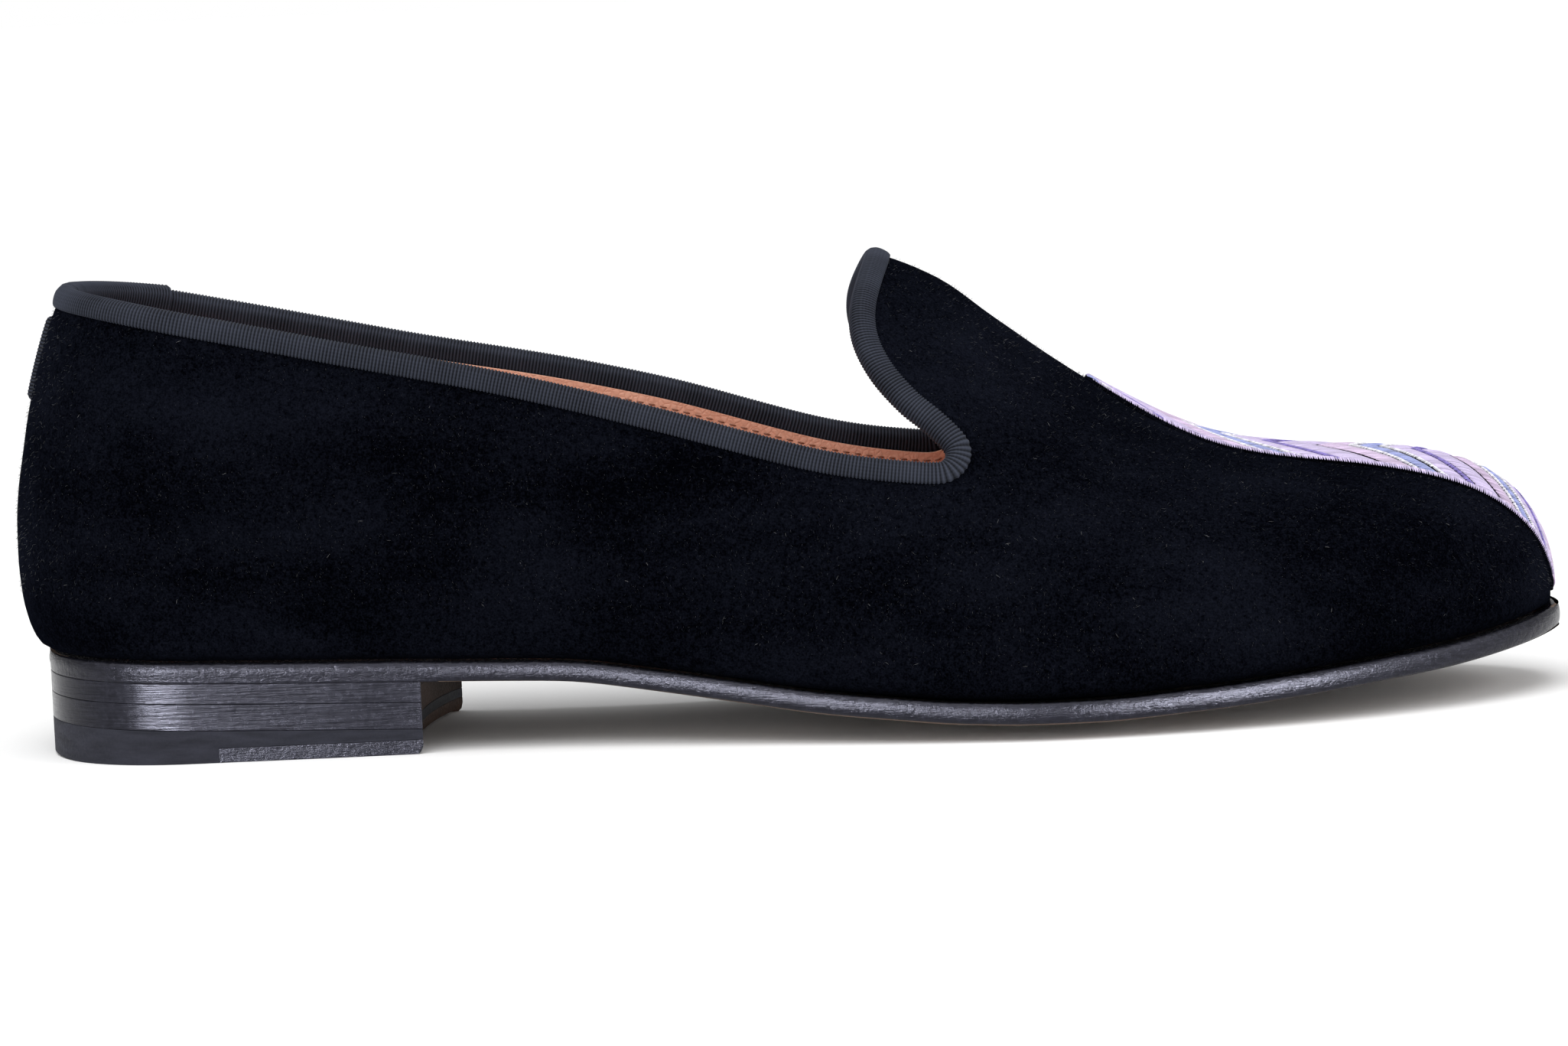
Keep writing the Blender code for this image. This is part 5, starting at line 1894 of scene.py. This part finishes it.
@dataclass
class VampEmbroidery:
    """Raised satin stitch on the toe in plain chevrons."""

    form: LastForm
    starts: float = 0.700
    ends: float = 0.9998
    thickness: float = 0.00042
    stitch_gap: float = 0.00046
    seam_gap: float = 0.0012
    border: float = 0.0016
    slant: float = 0.11
    bend: float = 1.15
    lift: float = 0.00018
    skirt: float = 0.0002
    grid: tuple[int, int] = (90, 61)
    row_half: float = 0.95
    row_steps: int = 420
    border_span: Pair = (0.004, 0.988)
    border_steps: int = 900
    last_share: float = 0.996
    shortest: float = 0.0006
    least: float = 0.006
    ragged: float = 0.0010
    tone: Pair = (0.60, 1.14)
    # The periwinkle stripes are painted shade: the lavender satin's shaded colour laid as thread.
    stripes: tuple[tuple[Thread, float], ...] = (
        (Thread.LAVENDER, 0.062), (Thread.NAVY, 0.006), (Thread.LILAC, 0.050), (Thread.WHITE, 0.012),
        (Thread.NAVY, 0.005), (Thread.PERIWINKLE, 0.034), (Thread.NAVY, 0.005), (Thread.WHITE, 0.012),
        (Thread.LAVENDER, 0.048), (Thread.VIOLET, 0.016), (Thread.NAVY, 0.006))

    def place_at(self, share: Array, across: Array) -> tuple[Array, Array]:
        """Sweep and turn at a share of the panel's length and of its half width.

        Args:
            share: share of the length.
            across: share of the half width, negative past the ridge.

        Returns:
            Sweep and turn.
        """
        first = float(self.form.sweep_at(self.starts))
        last = float(self.form.sweep_at(self.ends))
        sweep = first + (last - first) * np.clip(share, 0.0, 1.0)
        half = PANEL_HALF.read(self.form.along(sweep))
        return sweep, math.pi / 2 * (1.0 - half * across)

    def lay(self, share: Array, across: Array, lift: float) -> tuple[Array, Array]:
        """Points over the panel at a height above the velvet, with their normals.

        Args:
            share: share of the length.
            across: share of the half width.
            lift: the height.

        Returns:
            Points and normals, in rows of three.
        """
        sweep, turn = self.place_at(share, across)
        ones = np.ones_like(sweep)
        normal = self.form.wall_normal(np.minimum(sweep, NEAR_TOE), turn, ones)
        return self.form.wall(sweep, turn, ones) + normal * lift, normal

    def ground(self, cloth: Material) -> None:
        """Dark cloth that the threads are stitched to.

        Args:
            cloth: the material.
        """
        share, across = np.meshgrid(np.linspace(0.0, 1.0, self.grid[0]),
                                    np.linspace(-1.0, 1.0, self.grid[1]), indexing="ij")
        edge = np.clip((1.0 - np.abs(across)) * 14.0, 0.0, 1.0) ** 0.5
        point, normal = self.lay(share, across, 0.0)
        top = point + normal * (self.skirt + self.thickness * edge)[..., None]
        base = point - normal * self.skirt
        grid = np.concatenate([top, base[:, ::-1]], axis=1)
        rows, columns, _ = grid.shape
        keep(mesh_object("embroidery_ground", self.form.place(grid).reshape(-1, 3),
                         tube_faces(rows, columns)), "embroidery", cloth, "vamp_embroidery")

    def stitch_row(self, low: Array, high: Array, across_low: Array,
                   across_high: Array, colour: Colour, dice: np.random.Generator) -> tuple[Array, ...]:
        """One row of satin stitches laid side by side between two lines.

        Args:
            low: share of the length where each stitch starts.
            high: share where it ends.
            across_low: share of the half width where it starts.
            across_high: share where it ends.
            colour: the thread's colour.
            dice: source of the small unevenness.

        Returns:
            Middles, headings, normals, lengths and colours.
        """
        lift = self.thickness + self.lift
        start, first = self.lay(np.clip(low, 0.0, self.last_share), across_low, lift)
        end, second = self.lay(np.clip(high, 0.0, self.last_share), across_high, lift)
        middle = (start + end) / 2
        step = np.linalg.norm(np.diff(middle, axis=0, prepend=middle[:1]), axis=1)
        pick = np.unique(np.floor(np.cumsum(step) / self.stitch_gap), return_index=True)[1]
        run = end[pick] - start[pick]
        reach = np.linalg.norm(run, axis=1)
        whole = reach > self.shortest
        tone = np.tile(np.array(colour), (len(pick), 1)) * dice.uniform(*self.tone, (len(pick), 1))
        return (middle[pick][whole], unit(run[whole]), unit(first[pick] + second[pick])[whole],
                reach[whole], tone[whole])

    def build(self, cloth: Material, silk: Material) -> None:
        """Make the ground and lay the threads: chevron stripes and a border.

        Args:
            cloth: material of the ground.
            silk: material of the threads.
        """
        self.ground(cloth)
        dice = np.random.default_rng(7)
        fine = np.linspace(-self.row_half, self.row_half, self.row_steps)
        point = self.slant * np.abs(fine) ** self.bend
        rows = []
        total = sum(width for _, width in self.stripes)
        begin = -total
        while begin < 1.0:
            for thread, width in self.stripes:
                if thread is not Thread.NAVY:
                    low = np.clip(begin + point + self.seam_gap, 0.0, 0.99)
                    high = np.clip(begin + width + point - self.seam_gap, 0.0, 0.99)
                    ragged = dice.uniform(-self.ragged, self.ragged, len(fine))
                    whole = high - low > self.least
                    if whole.sum() > 3:
                        rows.append(self.stitch_row((low + ragged)[whole], (high + ragged)[whole],
                                                    fine[whole], fine[whole], thread.value, dice))
                begin += width
        edge = np.linspace(*self.border_span, self.border_steps)
        half = PANEL_HALF.read(self.form.along(self.place_at(edge, np.zeros_like(edge))[0]))
        inner = 1.0 - np.clip(self.border / np.maximum(half * 0.06, 1e-4), 0.0, 0.30)
        for sign in (-1.0, 1.0):
            rows.append(self.stitch_row(edge, edge + 0.004, sign * inner,
                                        np.full_like(edge, sign * 1.01), Thread.LAVENDER.value, dice))
        centre, heading, facing, reach, colour = (
            np.concatenate([row[k] for row in rows]) for k in range(5))
        keep(ThreadLayer().lay("satin_threads", self.form.place(centre), heading, facing, reach,
                               colour, silk), "embroidery", None)


@dataclass
class Studio:
    """Camera, pale floor and soft lights."""

    eye: Triple = (0.12175, -1.02491, 0.13884)
    right: Triple = (0.99905, -0.00433, -0.04341)
    up: Triple = (0.04362, 0.09923, 0.99411)
    ahead: Triple = (0.0, 0.99506, -0.09932)
    lens: float = 125.74
    film_width: float = 36.0
    clip: Pair = (0.05, 50.0)
    aim: Triple = (0.12, 0.0, 0.04)
    sky_strength: float = 2.5
    sky_spread: float = 65.0
    sky_turn: Triple = (18.0, -14.0, 0.0)
    world_light: float = 0.46
    floor_reach: float = 40.0
    polished: tuple[str, ...] = ("leather_outsole", "heel_upper_lift", "heel_lower_lift", "heel_quarter")
    lights: tuple[tuple[str, Triple, float, float, float], ...] = (
        ("front", (0.10, -1.45, 0.80), 1.0, 1.0, 6.0),
        ("toe_side", (1.25, -0.45, 0.55), 0.8, 0.8, 6.0),
        ("heel_side", (-1.10, -0.55, 0.60), 0.8, 0.8, 2.5),
        ("left_panel", (-0.322, -0.758, 0.07), 0.40, 0.13, 19.0),
        ("right_panel", (0.643, -0.774, 0.07), 0.40, 0.13, 30.0))

    def build(self) -> None:
        """Set up the camera, the lights and the stage."""
        scene = bpy.context.scene
        self.set_camera(scene)
        self.set_lights(scene)
        self.set_stage(scene)
        scene.view_settings.view_transform = "Standard"

    def set_camera(self, scene: bpy.types.Scene) -> None:
        """Place the camera at the photo's angle.

        Args:
            scene: the scene.
        """
        camera = bpy.data.cameras.new("camera")
        camera.lens = self.lens
        camera.sensor_width = self.film_width
        camera.clip_start, camera.clip_end = self.clip
        holder = bpy.data.objects.new("camera", camera)
        rows = [(self.right[k], self.up[k], -self.ahead[k], self.eye[k]) for k in range(3)]
        holder.matrix_world = Matrix((*rows, (0.0, 0.0, 0.0, 1.0)))
        scene.collection.objects.link(holder)
        scene.camera = holder

    def set_lights(self, scene: bpy.types.Scene) -> None:
        """Place the soft lights; the panels light only the polished edges.

        Args:
            scene: the scene.
        """
        polished = bpy.data.collections.new("polished")
        for name in self.polished:
            polished.objects.link(bpy.data.objects[name])
        for name, place, width, height, power in self.lights:
            lamp = bpy.data.lights.new(name, "AREA")
            lamp.shape = "RECTANGLE"
            lamp.size = width
            lamp.size_y = height
            lamp.energy = power
            shape = bpy.data.objects.new(name, lamp)
            shape.location = place
            heading = Vector(self.aim) - Vector(place)
            shape.rotation_euler = heading.to_track_quat("-Z", "Y").to_euler()
            scene.collection.objects.link(shape)
            if name.endswith("panel"):
                shape.light_linking.receiver_collection = polished
        sun = bpy.data.lights.new("sky_panel", "SUN")
        sun.energy = self.sky_strength
        sun.angle = math.radians(self.sky_spread)
        panel = bpy.data.objects.new("sky_panel", sun)
        panel.rotation_euler = [math.radians(angle) for angle in self.sky_turn]
        scene.collection.objects.link(panel)

    def set_stage(self, scene: bpy.types.Scene) -> None:
        """Lay the floor and put even light all round, brighter to the camera than to the shoe.

        Args:
            scene: the scene.
        """
        reach = self.floor_reach
        corners = [(-reach, -reach, 0.0), (reach, -reach, 0.0), (reach, reach, 0.0),
                   (-reach, reach, 0.0)]
        floor = mesh_object("floor", np.array(corners), [(0, 1, 2, 3)], weld=False)
        floor.data.materials.append(FloorFinish("pale_paper").build())
        world = bpy.data.worlds.new("studio")
        world.use_nodes = True
        nodes = NodeWriter(world.node_tree)
        seen = nodes.add("ShaderNodeLightPath").outputs["Is Camera Ray"]
        strength = nodes.math("MULTIPLY_ADD", seen, 1.0 - self.world_light, self.world_light)
        light = world.node_tree.nodes["Background"].inputs
        world.node_tree.links.new(strength, light["Strength"])
        light["Color"].default_value = (1.0, 1.0, 1.0, 1.0)
        scene.world = world


def main() -> None:
    """Dress the whole shoe and set up the stage."""
    logging.basicConfig(level=logging.INFO, format="%(name)s %(message)s")
    form = LastForm()
    velvet = VelvetFinish("black_velvet").build()
    tape = TapeFinish("slate_tape").build()
    tan = LeatherFinish("tan_lining").build()
    edge = PaintedEdgeFinish("painted_edge").build()
    tread = LeatherFinish("brown_tread", deep=(0.030, 0.018, 0.012), lit=(0.085, 0.050, 0.032)).build()
    lift = PaintedEdgeFinish("polished_lifts", mottle_relief=0.00007, line_scale=110.0,
                             line_flatness=28.0, line_relief=0.00010, gloss=0.17).build()
    breast = LeatherFinish("heel_breast", deep=(0.004, 0.0024, 0.0018), lit=(0.013, 0.0075, 0.0055),
                           gloss=0.66, shine=0.04).build()
    rubber = RubberFinish("heel_rubber").build()
    silk = ThreadFinish("satin_thread").build()
    UpperShell(form).build(velvet, tan, silk)
    CollarBinding(form).build(tape)
    LeatherSole(form).build(edge, tread, tan)
    BuiltHeel(form).build(lift, edge, breast, rubber)
    BackStrip(form).build(tape)
    VampEmbroidery(form).build(velvet, silk)
    Studio().build()


if __name__ == "__main__":
    main()
